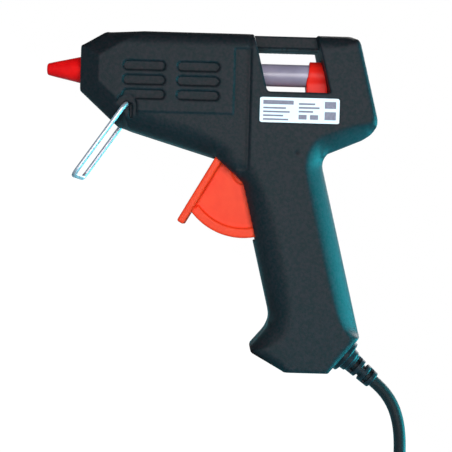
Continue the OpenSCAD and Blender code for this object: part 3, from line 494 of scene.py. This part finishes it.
body_outline = round_corners(body_corners)
sharp_outline = np.array([corner[:2] for corner in body_corners], float)
edge_rounding = [corner[3] for corner in body_corners]
window_x, window_len, window_floor = 58.1, 20.0, 6.5
bridge_half, bridge_low = 6.6, 7.9
stand_at = in_gun(pivots["stand_hinge"]["pos_m"])
hinge_at = in_gun(pivots["trigger_hinge"]["pos_m"])
screw_places = [(38, -20.2), (50.2, 9), (84.2, 8.3), (87.2, -16.8), (77.4, -53), (64.6, -87.4)]
gland = np.array(((81.35 + 91.35) / 2, (-95.2 - 83.4) / 2))
gland_turn = math.atan2(11.8, 10) - math.pi / 2


def window_outline(grow, top):
    """The leaning window: its floor, and two sides parallel to the rear edge, grown by a wall."""
    low = window_floor + grow
    return round_corners([(window_x - grow + low * lean, -low, 1.3),
                          (window_x + window_len + grow + low * lean, -low, 0.5),
                          (window_x + window_len + grow - top * lean, top, 0.1),
                          (window_x - grow - top * lean, top, 0.1)])


def side_level(x, z):
    """Half width of the body: 13 mm, less where the nose tapers to its three front edges, and 0.5 mm
    less under the front panel and in the upright channel behind it."""
    low_front = 0.672 * x + 0.740 * z + 5.48 + 2 * np.maximum(x - 14, 0)
    near_nose = np.minimum(np.minimum(x, 0.508 * x + 6.2 - 0.861 * z), low_front)
    taper = 5.0 * (1 - np.clip(near_nose / 6.2, 0, 1))
    below = np.maximum(z + 14.05, x - 54.5)
    channel = np.maximum(np.maximum(49.3 - x, x - 54.5), z - 6.8)
    low_area = -np.minimum(np.maximum(below, 12.5 - x), channel)
    low_area = np.where(z < -31, np.minimum(low_area, z + 31.5), low_area)
    groove = 0.4 * np.exp(-((x - 54.1) / 0.35) ** 2) * eased((z + 31) / 3)
    panel_end = 0.15 * np.exp(-((x - 49.5) / 0.3) ** 2) * eased((z + 14) / 0.5) * eased(7 - z)
    return half_width - taper - 0.5 * eased(low_area / 0.3 + 0.5) - groove - panel_end


def side_rounding(x, z):
    """How far the edge is rounded over near (x, z): the edges' own roundings, weighted by one over
    their distance to the fourth power."""
    total, weight = 0.0, 0.0
    for rounding, (_, _, distance) in zip(edge_rounding, edge_distances(x, z, sharp_outline)):
        share = 1 / (distance ** 2 + 0.4) ** 2
        total, weight = total + share * rounding, weight + share
    return total / weight


def body(x, y, z):
    """The closed outer body: its outline drawn across y to the side level, its edges rounded over by
    the root of a sum of powers, 2 for a round and nearer 1 for the flatter edge behind the handle."""
    r = side_rounding(x, z)
    p, q = outline_distance(x, z, body_outline) + r, np.abs(y) - side_level(x, z) + r
    power = 2 - 0.62 * eased((x - 77.3 + 0.2456 * (z + 26.2) + 11.5) / 3) * eased((-11 - z) / 4)
    outside = (np.maximum(p, 0) ** power + np.maximum(q, 0) ** power) ** (1 / power)
    return outside + np.minimum(np.maximum(p, q), 0) - r


def vent(x, y, z, row, column):
    """A blind slot with round ends, 0.9 mm deep: a stadium on both sides of the body."""
    start, level = (14.05, 31.14)[column], (0.65, -3.9, -8.45)[row]
    along = np.clip(x, start + vent_half, start + vent_run - vent_half)
    return np.maximum(np.hypot(x - along, z - level) - vent_half, half_width - vent_deep - np.abs(y))


def shell(x, y, z, side):
    """One half shell, side -1 on the left or 1 on the right: the body less the cavity inside its wall,
    with the window's walls and the screw bosses left standing, less every hole and recess."""
    closed = body(x, y, z)
    around_window = np.maximum(outline_distance(x, z, window_outline(1.7, 40)), -17 - z)
    kept = joined(around_window, rod(x - hinge_at[0], z - hinge_at[2], y * side, 3.2, 5.8, 12))
    kept = joined(kept, rod(x - stand_at[0], z - stand_at[2], y * side, 3.6, 7.5, 12.5))
    for place in screw_places:
        kept = joined(kept, rod(x - place[0], z - place[1], y, boss_r, -14, 14))
    kept = joined(kept, block(x, y, z, (33.1, -14, -16.5), (34.8, 14, 13)))
    kept = joined(kept, block(x, y, z, (37.6, -14, -16.5), (39.3, 14, 13)))
    solid = common(closed, joined(-(closed + shell_wall), kept, 0.4), 0.4)
    # nose, barrel, feed and trigger need free ways
    free = joined(rod(y, z, x, 4.5, -3, 2.1), rod(y, z, x, 7.7, 2, 45))
    free = joined(free, rod(y, z, x, 8.32, 34.8, 37.6))
    free = joined(free, block(x, y, z, (11, -7, -14), (40.6, 7, 0)))
    free = joined(free, rod(y, z, x, 6.3, 40, 53.5))
    free = joined(free, rod(y, z, x, 4.85, 58, 86.9))
    free = joined(free, block(x, y, z, (62, -4.15, -9.5), (87.2, 4.15, -3.5)))
    free = joined(free, block(x, y, z, (42.9, -4.55, -13.7), (87.2, 4.55, -8.3)))
    free = joined(free, block(x, y, z, (44, -3, -30), (64, 3, -8.5)))
    trigger_slot = np.array([(43.6, -24), (56, -24), (62, -40), (62, -53.5), (40, -53.5),
                             (43.6, -29)], float)
    free = joined(free, slab(outline_distance(x, z, trigger_slot), y, 7.4, 0.5))
    solid = cut(solid, free, 0.3)
    opening = outline_distance(x, z, window_outline(0, 40))
    bridge = np.maximum(np.abs(y) - bridge_half, np.maximum(bridge_low - z, z - 12))
    solid = cut(solid, cut(opening, bridge), 0.5)
    # bridge bar over the window
    solid = joined(solid, common(common(closed, bridge, 0.6), opening - 0.5))
    for row in range(3):
        for column in range(2):
            solid = cut(solid, vent(x, y, z, row, column), fit_r)
    # arched pocket where the stand's leg turns, with a slit beside the wire
    along = np.clip(z, stand_at[2] - 6.3, stand_at[2] - 0.4)
    pocket = np.hypot(x - stand_at[0], z - along) - pocket_r
    pocket = np.maximum(pocket, half_width - pocket_deep - np.abs(y))
    slit = np.clip(z, stand_at[2] - 4, stand_at[2])
    slit = np.maximum(np.hypot(x - stand_at[0] - 1.5, z - slit) - 0.45, half_width - 2.2 - np.abs(y))
    solid = cut(cut(solid, pocket, 0.5), slit, 0.2)
    solid = cut(solid, rod(x - stand_at[0], z - stand_at[2], y, 0.85, -20, 20), 0.15)
    # gland: s outwards, t across it
    s = (x - gland[0]) * math.cos(gland_turn) + (z - gland[1]) * math.sin(gland_turn)
    t = (z - gland[1]) * math.cos(gland_turn) - (x - gland[0]) * math.sin(gland_turn)
    solid = cut(solid, joined(rod(t, y, s, 3.3, -8, 8), rod(t, y, s, 4.75, -3.6, -2)), 0.2)
    if side < 0:
        collar = common(rod(y, z, x, collar_r, 87.2, 110), closed + 0.05)
        solid = cut(joined(solid, collar), rod(y, z, x, inlet_r, 86.2, 110), 0.3)
        label = block(x, y, z, (57.2, -15, -16.6), (83, -12.7, -8), 0.9)
        solid = cut(solid, label, 0.3)
        solid = cut(solid, np.sqrt((x - 69.6) ** 2 + (y + 13.1) ** 2 + (z + 25.6) ** 2) - 0.55, 0.2)
        for place in screw_places:
            solid = cut(solid, rod(x - place[0], z - place[1], y, pilot_r, -9.5, 1))
    else:
        solid = cut(solid, rod(y, z, x, collar_r + 0.02, 87.1, 110), 0.2)
        for place in screw_places:
            solid = cut(solid, rod(x - place[0], z - place[1], y, hole_r, -1, 20))
            solid = cut(solid, rod(x - place[0], z - place[1], y, counterbore_r, 8, 20), 0.3)
    solid = cut(solid, rod(x - hinge_at[0], z - hinge_at[2], y, 1.52, -9.1, 9.1))
    return common(solid, -y * side, fit_r)


shell_plastic = finish("shell_plastic", (0.004, 0.012, 0.015), (0.017, 0.016, 0.021), rough=0.55,
                       rough_spread=0.06, grain=0.00028, depth=0.000035, patch=0.0009,
                       Specular_IOR_Level=0.15)
for shell_name, side, shell_low, shell_high in (
        ("left_shell", -1, (-1, -13.6, -96.6), (97.2, 0.7, 13.2)),
        ("right_shell", 1, (-1, -0.7, -96.6), (97.2, 13.6, 13.2))):
    half = skin(shell_name, lambda x, y, z, side=side: shell(x, y, z, side), shell_low, shell_high,
                0.5)
    half.data.materials.append(shell_plastic)
    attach(half, "housing")
    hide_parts("left_housing" if side < 0 else "right_housing")


# ---- Nozzle and its cover ----
# A turned brass nozzle screwed into the barrel, under a moulded red silicone cone that keeps fingers
# off the hot brass. The cone's flange is held behind the shells' nose.
def turned(name, profile, sides, start=0.0):
    """A piece turned about the stick's axis from a closed profile of (along, radius): ring k is the
    profile point k at y = radius cos angle, z = radius sin angle."""
    profile = np.array(profile, float)
    angle = start + np.arange(sides) * math.tau / sides
    along = np.repeat(profile[:, 0], sides)
    across = np.outer(profile[:, 1], np.cos(angle)).ravel()
    up = np.outer(profile[:, 1], np.sin(angle)).ravel()
    ring = np.arange(len(profile))[:, None] * sides
    step = np.arange(sides)[None, :]
    beyond, ahead = np.roll(ring, -1, axis=0), (step + 1) % sides
    quads = np.stack([ring + step, beyond + step, beyond + ahead, ring + ahead], -1).reshape(-1, 4)
    return surface(name, parked(np.stack([along, across, up], 1)), quads)


def arc_points(centre, r, first, last, count):
    """Points of an arc in the (along, radius) plane, angles in degrees."""
    angles = np.radians(np.linspace(first, last, count))
    return [(centre[0] + r * math.cos(a), centre[1] + r * math.sin(a)) for a in angles]


red_silicone = finish("red_silicone", (0.93, 0.008, 0.008), (0.78, 0.004, 0.006), rough=0.42,
                      grain=0.0005, depth=0.00001, patch=0.004, Subsurface_Weight=0.08,
                      Specular_IOR_Level=0.1)
red_silicone.node_tree.nodes["Principled BSDF"].inputs["Subsurface Radius"].default_value = (
    0.002, 0.0006, 0.0004)
cover_profile = ([(-11.02, 1.5), (-11.1, 1.2)] + arc_points((-10.75, 1.22), 0.78, 180, 98, 7)
                 + [(-8, 2.66), (-4, 3.52), (-0.25, 4.38)] + arc_points((0.1, 4.1), 0.35, 110, 90, 3)
                 + [(2.1, 4.45), (2.15, 5.45), (3.85, 5.5), (3.9, 3.22), (0.2, 3.22), (-5.2, 2.2)])
cover = turned("nozzle_cone", cover_profile[::-1], 96)
cover.data.materials.append(red_silicone)
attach(cover, "housing")
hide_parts("nozzle_cover")


def dressed(names, material):
    """Gives CAD parts their finish."""
    for name in names:
        mesh = frame["nodes"][name].data
        mesh.materials.clear()
        mesh.materials.append(material)


dressed(["nozzle"], finish("turned_brass", (0.72, 0.47, 0.17), (0.6, 0.38, 0.13), rough=0.3, metal=1.0,
                           grain=0.0006, depth=0.000004, patch=0.002))


# ---- Barrel, heater and what holds them ----
# A die-cast aluminium melting chamber with a pocket for the ceramic heating stone and its two plates,
# wrapped in film and pressed in by a sprung clip. A heat-proof ring holds the barrel in the shells.
dressed(["heating_barrel"], finish("cast_aluminium", (0.6, 0.6, 0.61), (0.5, 0.5, 0.52), rough=0.5,
                                   metal=1.0, grain=0.0007, depth=0.00003, patch=0.004))
dressed(["heater_element"], finish("heater_stone", (0.1, 0.095, 0.09), (0.14, 0.13, 0.12), rough=0.7,
                                   grain=0.0003, patch=0.001))
dressed(["contact_plates"], finish("plate_copper", (0.75, 0.42, 0.26), (0.65, 0.35, 0.2), rough=0.35,
                                   metal=1.0, grain=0.0005, depth=0.000004, patch=0.002))
dressed(["heater_insulation"], finish("amber_film", (0.5, 0.22, 0.03), (0.42, 0.17, 0.02), rough=0.3,
                                      grain=0.001, depth=0.00001, patch=0.003))
dressed(["heater_clip", "sleeve_clip"], finish("spring_steel", (0.5, 0.5, 0.52), (0.4, 0.4, 0.43),
                                               rough=0.32, metal=1.0, grain=0.0008, depth=0.000004))
dressed(["barrel_support"], finish("heatproof_ring", (0.05, 0.048, 0.045), (0.075, 0.07, 0.065),
                                   rough=0.6, grain=0.0004, depth=0.00003))
dressed(["inlet_sleeve"], finish("pale_silicone", (0.68, 0.66, 0.6), (0.6, 0.58, 0.52), rough=0.5,
                                 grain=0.0006, depth=0.00001, Subsurface_Weight=0.1))


# ---- Glue stick ----
# A 7.2 mm extruded stick of clear hot-melt glue, milky grey in the bulk with a soft waxy gloss. It
# slides through the feed sleeve into the barrel, where its front end melts.
stick_glue = finish("stick_glue", (0.36, 0.34, 0.46), (0.3, 0.285, 0.39), rough=0.34, grain=0.002,
                    depth=0.00001, patch=0.006, Subsurface_Weight=0.5, Coat_Weight=0.08)
stick_glue.node_tree.nodes["Principled BSDF"].inputs["Subsurface Radius"].default_value = (
    0.004, 0.004, 0.005)
stick_profile = ([(22, 0.4), (22, 2.9)] + arc_points((22.6, 3.0), 0.6, 180, 90, 5)
                 + [(54, 3.6), (86, 3.6)] + arc_points((86.1, 3.2), 0.4, 90, 0, 5)
                 + [(86.45, 0.4)])
glue_rod = turned("glue_rod", stick_profile[::-1] , 72)
glue_rod.data.materials.append(stick_glue)
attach(glue_rod, "stick")
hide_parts("glue_stick")


# ---- Feed carriage and gripper ----
# A red moulded slide that runs in the shells under the stick. Its sleeve carries the stick, and a
# zinc-plated plate in its gap tips and bites the stick when the trigger drives the carriage forward.
feed_red = finish("feed_red", (0.93, 0.022, 0.012), (0.84, 0.015, 0.01), rough=0.34, grain=0.0006,
                  depth=0.000008, patch=0.004, Subsurface_Weight=0.05, Specular_IOR_Level=0.1)
drive_at = (58.26, -10.61)
feed_front, feed_rear, grip_at = 72.9, 86.2, 81.4
slide_front = drive_at[0] - 4


def carriage(x, y, z):
    """The sleeve, its web, ears, slide and spring lug, less the stick's way, the gripper's gap and pin
    bore, the arm's slot and the drive pin's slot."""
    ring = np.hypot(y, z)
    tube = np.maximum(ring - 4.6, np.maximum(feed_front - x + 0.12 * (z + 1), x - 79.3))
    tube = joined(tube, np.maximum(ring - 4.6, np.maximum(84 - x, x - feed_rear)))
    solid = joined(tube, block(x, y, z, (feed_front - 0.3, -3.9, -9), (79.3, 3.9, -1), 0.3), 0.6)
    solid = joined(solid, block(x, y, z, (84, -3, -9), (feed_rear, 3, -2), 0.2))
    solid = joined(solid, block(x, y, z, (79.5, -3.9, -9), (83.3, 3.9, -5.9), 0.3))
    slide = block(x, y, z, (slide_front, -4.3, -13.4), (feed_rear, 4.3, -8.5), 0.5)
    solid = joined(solid, slide, 0.2)
    solid = joined(solid, block(x, y, z, (80.4, 2, -19), (82.8, 9.6, -11.4), 0.4), 0.2)
    solid = cut(solid, ring - 3.9, 0.2)
    solid = cut(solid, block(x, y, z, (79.35, -2.3, -8.9), (83.95, 2.3, 0)))
    solid = cut(solid, rod(x - grip_at, z + 7.4, y, 1.05, -6, 6))
    solid = cut(solid, block(x, y, z, (slide_front + 1.2, -2.2, -15), (drive_at[0] + 3.4, 2.2, -7)), 0.2)
    return cut(solid, block(x, y, z, (drive_at[0] - 1.55, -9, drive_at[1] - 1.75),
                            (drive_at[0] + 1.55, 9, -7)), 0.2)


feed_slide = skin("feed_slide", carriage, (53.6, -5.2, -19.6), (87.4, 10.2, 5.2), 0.3)
feed_slide.data.materials.append(feed_red)
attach(feed_slide, "carriage")
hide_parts("feed_carriage")
zinc_plate = finish("zinc_plate", (0.62, 0.63, 0.64), (0.5, 0.51, 0.54), rough=0.36, metal=1.0,
                    grain=0.0007, depth=0.000006, patch=0.003)
dressed(["stick_gripper"], zinc_plate)


# ---- Trigger ----
# One orange-red moulding: a flat front plate, a web with a thicker curved rib along its lower edge, a
# hub on a steel pin and an arm whose end pin sits in the carriage's slot.
trigger_red = finish("trigger_red", (1.0, 0.062, 0.018), (0.95, 0.048, 0.014), rough=0.4, grain=0.0006,
                     depth=0.000008, patch=0.005, Subsurface_Weight=0.06, Specular_IOR_Level=0.12)
plate_foot, plate_head = np.array((32.0, -48.0)), np.array((43.5, -28.0))
plate_up = (plate_head - plate_foot) / np.hypot(*(plate_head - plate_foot))
plate_thick = 2.5
rib_outer, rib_inner = 21.0, 17.9


def trigger_body(x, y, z):
    """The plate, the web and rib cut from discs about the hinge, the hub, the arm and its end pin,
    less the hinge pin's bore."""
    along = (x - plate_foot[0]) * plate_up[0] + (z - plate_foot[1]) * plate_up[1]
    back = (x - plate_foot[0]) * plate_up[1] - (z - plate_foot[1]) * plate_up[0]
    plate = block(along, back, y, (0, 0, -7), (24.4, plate_thick, 7), 0.7)
    u, w = x - hinge_at[0], z - hinge_at[2]
    r = np.hypot(u, w)
    # wedges behind the plate, bounded by rays from the hinge at 150 or 217 and 294 degrees
    behind = np.maximum(1.2 - back, 0.407 * w + 0.914 * u)
    web = np.maximum(np.maximum(r - rib_outer + 0.6, behind), 0.866 * w + 0.5 * u)
    web = slab(web, y, 4.0, 0.2)
    rib = np.maximum(np.maximum(r - rib_outer, rib_inner - r), np.maximum(behind, 0.799 * w - 0.602 * u))
    rib = slab(rib, y, 5.5, 0.5)
    solid = joined(joined(plate, web, 0.5), rib, 0.35)
    solid = joined(solid, rod(u, w, y, 3.6, -5.5, 5.5), 0.3)
    arm = np.array([(hinge_at[0] - 3, hinge_at[2]), (drive_at[0] - 1.4, drive_at[1]),
                    (drive_at[0] + 1.4, drive_at[1]), (hinge_at[0] + 3, hinge_at[2])])
    solid = joined(solid, slab(outline_distance(x, z, arm), y, 2.0, 0.3), 0.3)
    solid = joined(solid, rod(x - drive_at[0], z - drive_at[1], y, 1.5, -4.3, 4.3), 0.1)
    return cut(solid, rod(u, w, y, 1.55, -9, 9), 0.15)


trigger_piece = skin("trigger_moulding", trigger_body, (30.6, -7.8, -54.4), (64.4, 7.8, -8.2), 0.32)
trigger_piece.data.materials.append(trigger_red)
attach(trigger_piece, "trigger")
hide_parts("trigger")


# ---- Return spring ----
# A compression spring wound from 0.6 mm steel wire, eight turns, between a seat in the shells and the
# carriage's lug. On the gun it shortens as the carriage goes forward; here it is drawn once, at rest.
def swept(name, path, r, sides):
    """A round bar along a path: ring k stands across the path's direction there, its first spoke
    turned as little as possible from the last ring's; both ends are closed flat."""
    path = np.asarray(path, float)
    ahead = np.gradient(path, axis=0)
    ahead /= np.linalg.norm(ahead, axis=1)[:, None]
    spokes = [np.cross(ahead[0], (0.31, 0.87, 0.38))]
    for way in ahead:
        spoke = spokes[-1] - way * (spokes[-1] @ way)
        spokes.append(spoke / np.linalg.norm(spoke))
    first = np.array(spokes[1:])
    second = np.cross(ahead, first)
    angle = np.arange(sides) * math.tau / sides
    points = (path[:, None] + r * (np.cos(angle)[None, :, None] * first[:, None]
                                   + np.sin(angle)[None, :, None] * second[:, None])).reshape(-1, 3)
    ring, step = np.arange(len(path) - 1)[:, None] * sides, np.arange(sides)[None, :]
    ahead_step = (step + 1) % sides
    quads = np.stack([ring + step, ring + ahead_step, ring + sides + ahead_step, ring + sides + step],
                     -1).reshape(-1, 4)
    k = np.arange(sides // 2 - 1)
    end = np.stack([k, k + 1, sides - 2 - k, sides - 1 - k], 1)
    return surface(name, parked(points), np.vstack([quads, end[:, ::-1], end + len(points) - sides]))


# The steel pin that the trigger turns on is held between the shells.
hinge_pin = swept("hinge_pin", [(hinge_at[0], across, hinge_at[2]) for across in (-9, -3, 3, 9)], 1.5, 32)
hinge_pin.data.materials.append(zinc_plate)
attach(hinge_pin, "housing")
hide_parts("trigger_pin")

spring_steps = np.linspace(0, 1, 8 * 32 + 1)
spring_turn = math.tau * 8 * spring_steps
spring_x = 58.4 + 0.35 + (80.4 - 58.4 - 0.7) * spring_steps
spring_path = np.stack([spring_x, 7 + 2.3 * np.cos(spring_turn), -16.4 + 2.3 * np.sin(spring_turn)], 1)
spring_coil = swept("spring_coil", spring_path, 0.3, 10)
spring_coil.data.materials.append(zinc_plate)
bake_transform(spring_coil)
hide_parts("return_spring")

# ---- Wire stand ----
# A U of 1.5 mm chromed steel wire. Its ends turn in through the shells' sides, so that it swings
# forward under the nose to park the gun.
stand_length, leg_side, bend_r, reach_in = 27.9, 14.0, 2.5, 8.5
stand_way = np.array((-math.cos(math.radians(55.3)), -math.sin(math.radians(55.3))))


def wire_line(corners, r):
    """The bent wire's centre line, (along the leg, across): straights joined by quarter arcs, each
    about a centre r inside the corner both ways."""
    corners = np.array(corners, float)
    line = [corners[:1]]
    for before, corner, after in zip(corners[:-2], corners[1:-1], corners[2:]):
        a, b = before - corner, after - corner
        a, b = a / np.hypot(*a), b / np.hypot(*b)
        angle = np.linspace(0, math.pi / 2, 9)[:, None]
        line.append(corner + (a + b) * r - b * r * np.cos(angle) - a * r * np.sin(angle))
    flat = np.vstack([*line, corners[-1:]])
    spans = [np.linspace(p, q, max(2, round(np.hypot(*(q - p)) / 1.5) + 1))[:-1]
             for p, q in zip(flat[:-1], flat[1:])]
    return np.vstack([*spans, flat[-1:]])


wire_flat = wire_line([(0, -reach_in), (0, -leg_side), (stand_length, -leg_side),
                       (stand_length, leg_side), (0, leg_side), (0, reach_in)], bend_r)
wire_path = np.stack([stand_at[0] + wire_flat[:, 0] * stand_way[0], wire_flat[:, 1],
                      stand_at[2] + wire_flat[:, 0] * stand_way[1]], 1)
stand_wire = swept("stand_wire", wire_path, 0.75, 20)
chromed_wire = finish("chromed_wire", (0.6, 0.58, 0.65), (0.52, 0.5, 0.57), rough=0.42,
                      rough_spread=0.05, metal=0.6, grain=0.001, depth=0.000002, patch=0.004)
stand_wire.data.materials.append(chromed_wire)
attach(stand_wire, "stand")
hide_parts("wire_stand")


# ---- Rating label ----
# A pale printed film stuck in the left shell's shallow recess. Its print is only plain blocks.
label_middle = np.array((70.1, -12.3))
label_length, label_height, label_front = 25.5, 8.3, -12.86


def label_sheet(name, left, low, width, height, r, front, back):
    """A thin plate with round corners on the shell's left side, drawn as a closed outline at two
    depths: the corner arcs in turn, joined by a strip and closed by a fan of narrow quads."""
    middles = [(left + width - r, low + height - r), (left + r, low + height - r), (left + r, low + r),
               (left + width - r, low + r)]
    rim = np.array([(cx + r * math.cos(a), cz + r * math.sin(a))
                    for k, (cx, cz) in enumerate(middles)
                    for a in np.radians(np.linspace(90 * k, 90 * k + 90, 6))])
    count = len(rim)
    points = np.vstack([np.column_stack([rim[:, 0], np.full(count, depth), rim[:, 1]])
                        for depth in (front, back)])
    step = np.arange(count)
    strip = np.stack([step, (step + 1) % count, (step + 1) % count + count, step + count], 1)
    k = np.arange(count // 2 - 1)
    face = np.stack([k, k + 1, count - 2 - k, count - 1 - k], 1)
    return points, np.vstack([strip[:, ::-1], face, face[:, ::-1] + count])


label_points, label_faces = label_sheet("film", label_middle[0] - label_length / 2,
                                        label_middle[1] - label_height / 2, label_length,
                                        label_height, 1.0, label_front, -12.71)
label_film = surface("label_film", parked(label_points), label_faces)
label_film.data.shade_flat()
film_white = finish("film_white", (0.74, 0.81, 0.9), (0.7, 0.77, 0.87), rough=0.3, grain=0.002,
                    depth=0.000004, patch=0.006)
label_film.data.materials.append(film_white)
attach(label_film, "housing")
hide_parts("rating_label")

# blocks of print: left, low, width, height from the label's lower left corner
print_blocks = [(1.2, 5.9, 9.6, 1.3), (1.2, 4.5, 7.2, 0.55), (1.2, 3.3, 8.4, 0.55), (1.2, 2.1, 6.4, 0.55),
                (1.2, 0.9, 8.0, 0.55), (12.4, 5.9, 5.2, 0.6), (12.4, 4.7, 6.6, 0.6), (12.4, 3.5, 4.6, 0.6),
                (12.4, 1.3, 2.6, 1.5), (16.0, 1.3, 2.6, 1.5), (20.6, 4.9, 3.6, 2.2),
                (20.6, 1.3, 3.6, 2.6)]
ink_points, ink_faces = [], []
for left, low, width, height in print_blocks:
    block_points, block_faces = label_sheet("ink", label_middle[0] - label_length / 2 + left,
                                            label_middle[1] - label_height / 2 + low, width, height,
                                            0.1, label_front - 0.02, label_front + 0.02)
    ink_faces.append(block_faces + sum(len(p) for p in ink_points))
    ink_points.append(block_points)
label_ink = surface("label_print", parked(np.vstack(ink_points)), np.vstack(ink_faces))
label_ink.data.shade_flat()
print_ink = finish("print_ink", (0.1, 0.09, 0.15), (0.14, 0.13, 0.2), rough=0.4, grain=0.0004,
                   depth=0.000002, patch=0.0008)
label_ink.data.materials.append(print_ink)
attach(label_ink, "housing")


# ---- Strain relief ----
# A black rubber sleeve moulded round the cord, with a flange outside the butt, a foot held inside the
# gland and rows of slots that let it bend.
def relief(x, y, z):
    """The foot, neck, flange and tapering sleeve about the gland's axis, less the cord's way and the
    slots, whose rows turn a quarter from one to the next."""
    s = (x - gland[0]) * math.cos(gland_turn) + (z - gland[1]) * math.sin(gland_turn)
    t = (z - gland[1]) * math.cos(gland_turn) - (x - gland[0]) * math.sin(gland_turn)
    r = np.hypot(t, y)
    solid = joined(np.maximum(r - 4.6, np.maximum(-3.5 - s, s + 2.05)),
                   np.maximum(r - 3.2, np.maximum(-2.1 - s, s - 0.3)))
    flange = np.hypot(np.maximum(r - 5.2, 0), np.maximum(np.abs(s - 1.225) - 0.775, 0)) - 0.4
    collar = np.maximum(r - (4.2 - 0.1 * s), np.maximum(-s, s - 4.4))
    taper = r - (3.45 - 0.6 * (s - 2.4) / 11.3)
    sleeve = common(taper, np.maximum(-s, s - 13.7), 0.5)
    solid = joined(joined(solid, flange, 0.1), joined(collar, sleeve, 0.5), 0.25)
    for k, row in enumerate((5.4, 8.1, 10.8)):
        across = (y, t)[k % 2]
        solid = cut(solid, np.maximum(np.abs(s - row - 0.6) - 0.6, 0.9 - np.abs(across)), 0.25)
    return cut(solid, r - 2.05, 0.2)


cord_sleeve = skin("cord_sleeve", relief, (gland[0] - 7.5, -6.2, gland[1] - 14),
                   (gland[0] + 15, 6.2, gland[1] + 8), 0.25)
black_rubber = finish("black_rubber", (0.008, 0.011, 0.015), (0.013, 0.016, 0.022), rough=0.42,
                      grain=0.0004, depth=0.00002, patch=0.003, Specular_IOR_Level=0.12)
cord_sleeve.data.materials.append(black_rubber)
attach(cord_sleeve, "housing")
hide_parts("strain_relief")

# ---- Cord clamp, leads and connectors ----
# Inside the handle a bar and two screws hold the cord. Its cores are crimped to silicone leads that
# run up to the heater's plates.
screw_steel = finish("screw_steel", (0.55, 0.56, 0.58), (0.45, 0.46, 0.49), rough=0.3, metal=1.0,
                     grain=0.0005, depth=0.000004, patch=0.001)
dressed(["housing_screws", "cord_clamp_screws"], screw_steel)
dressed(["cord_clamp"], finish("clamp_nylon", (0.05, 0.055, 0.06), (0.07, 0.075, 0.08), rough=0.5))
dressed(["wire_connectors"], finish("crimp_sleeve", (0.8, 0.77, 0.68), (0.7, 0.67, 0.6), rough=0.4))
dressed(["live_lead", "neutral_lead"], finish("lead_silicone", (0.75, 0.73, 0.7), (0.66, 0.64, 0.6),
                                              rough=0.45, grain=0.0004, depth=0.00001))
dressed(["live_core"], finish("live_brown", (0.16, 0.07, 0.03), (0.2, 0.09, 0.04), rough=0.4))
dressed(["neutral_core"], finish("neutral_blue", (0.03, 0.1, 0.42), (0.04, 0.13, 0.5), rough=0.4))

# ---- Hank tie and plug ----
# A soft black band round the folded cord, and a flat black plug moulded on its end with two round
# pins, brass with nickel plate.
dressed(["hank_tie"], finish("tie_band", (0.03, 0.03, 0.033), (0.045, 0.045, 0.05), rough=0.6,
                             grain=0.0006, depth=0.00003))
dressed(["plug_body"], finish("plug_black", (0.016, 0.018, 0.02), (0.024, 0.027, 0.03), rough=0.42,
                              grain=0.0005, depth=0.00002, patch=0.004))
dressed(["plug_pins"], finish("pin_nickel", (0.66, 0.64, 0.58), (0.56, 0.54, 0.5), rough=0.25,
                              metal=1.0, grain=0.0006, depth=0.000003))
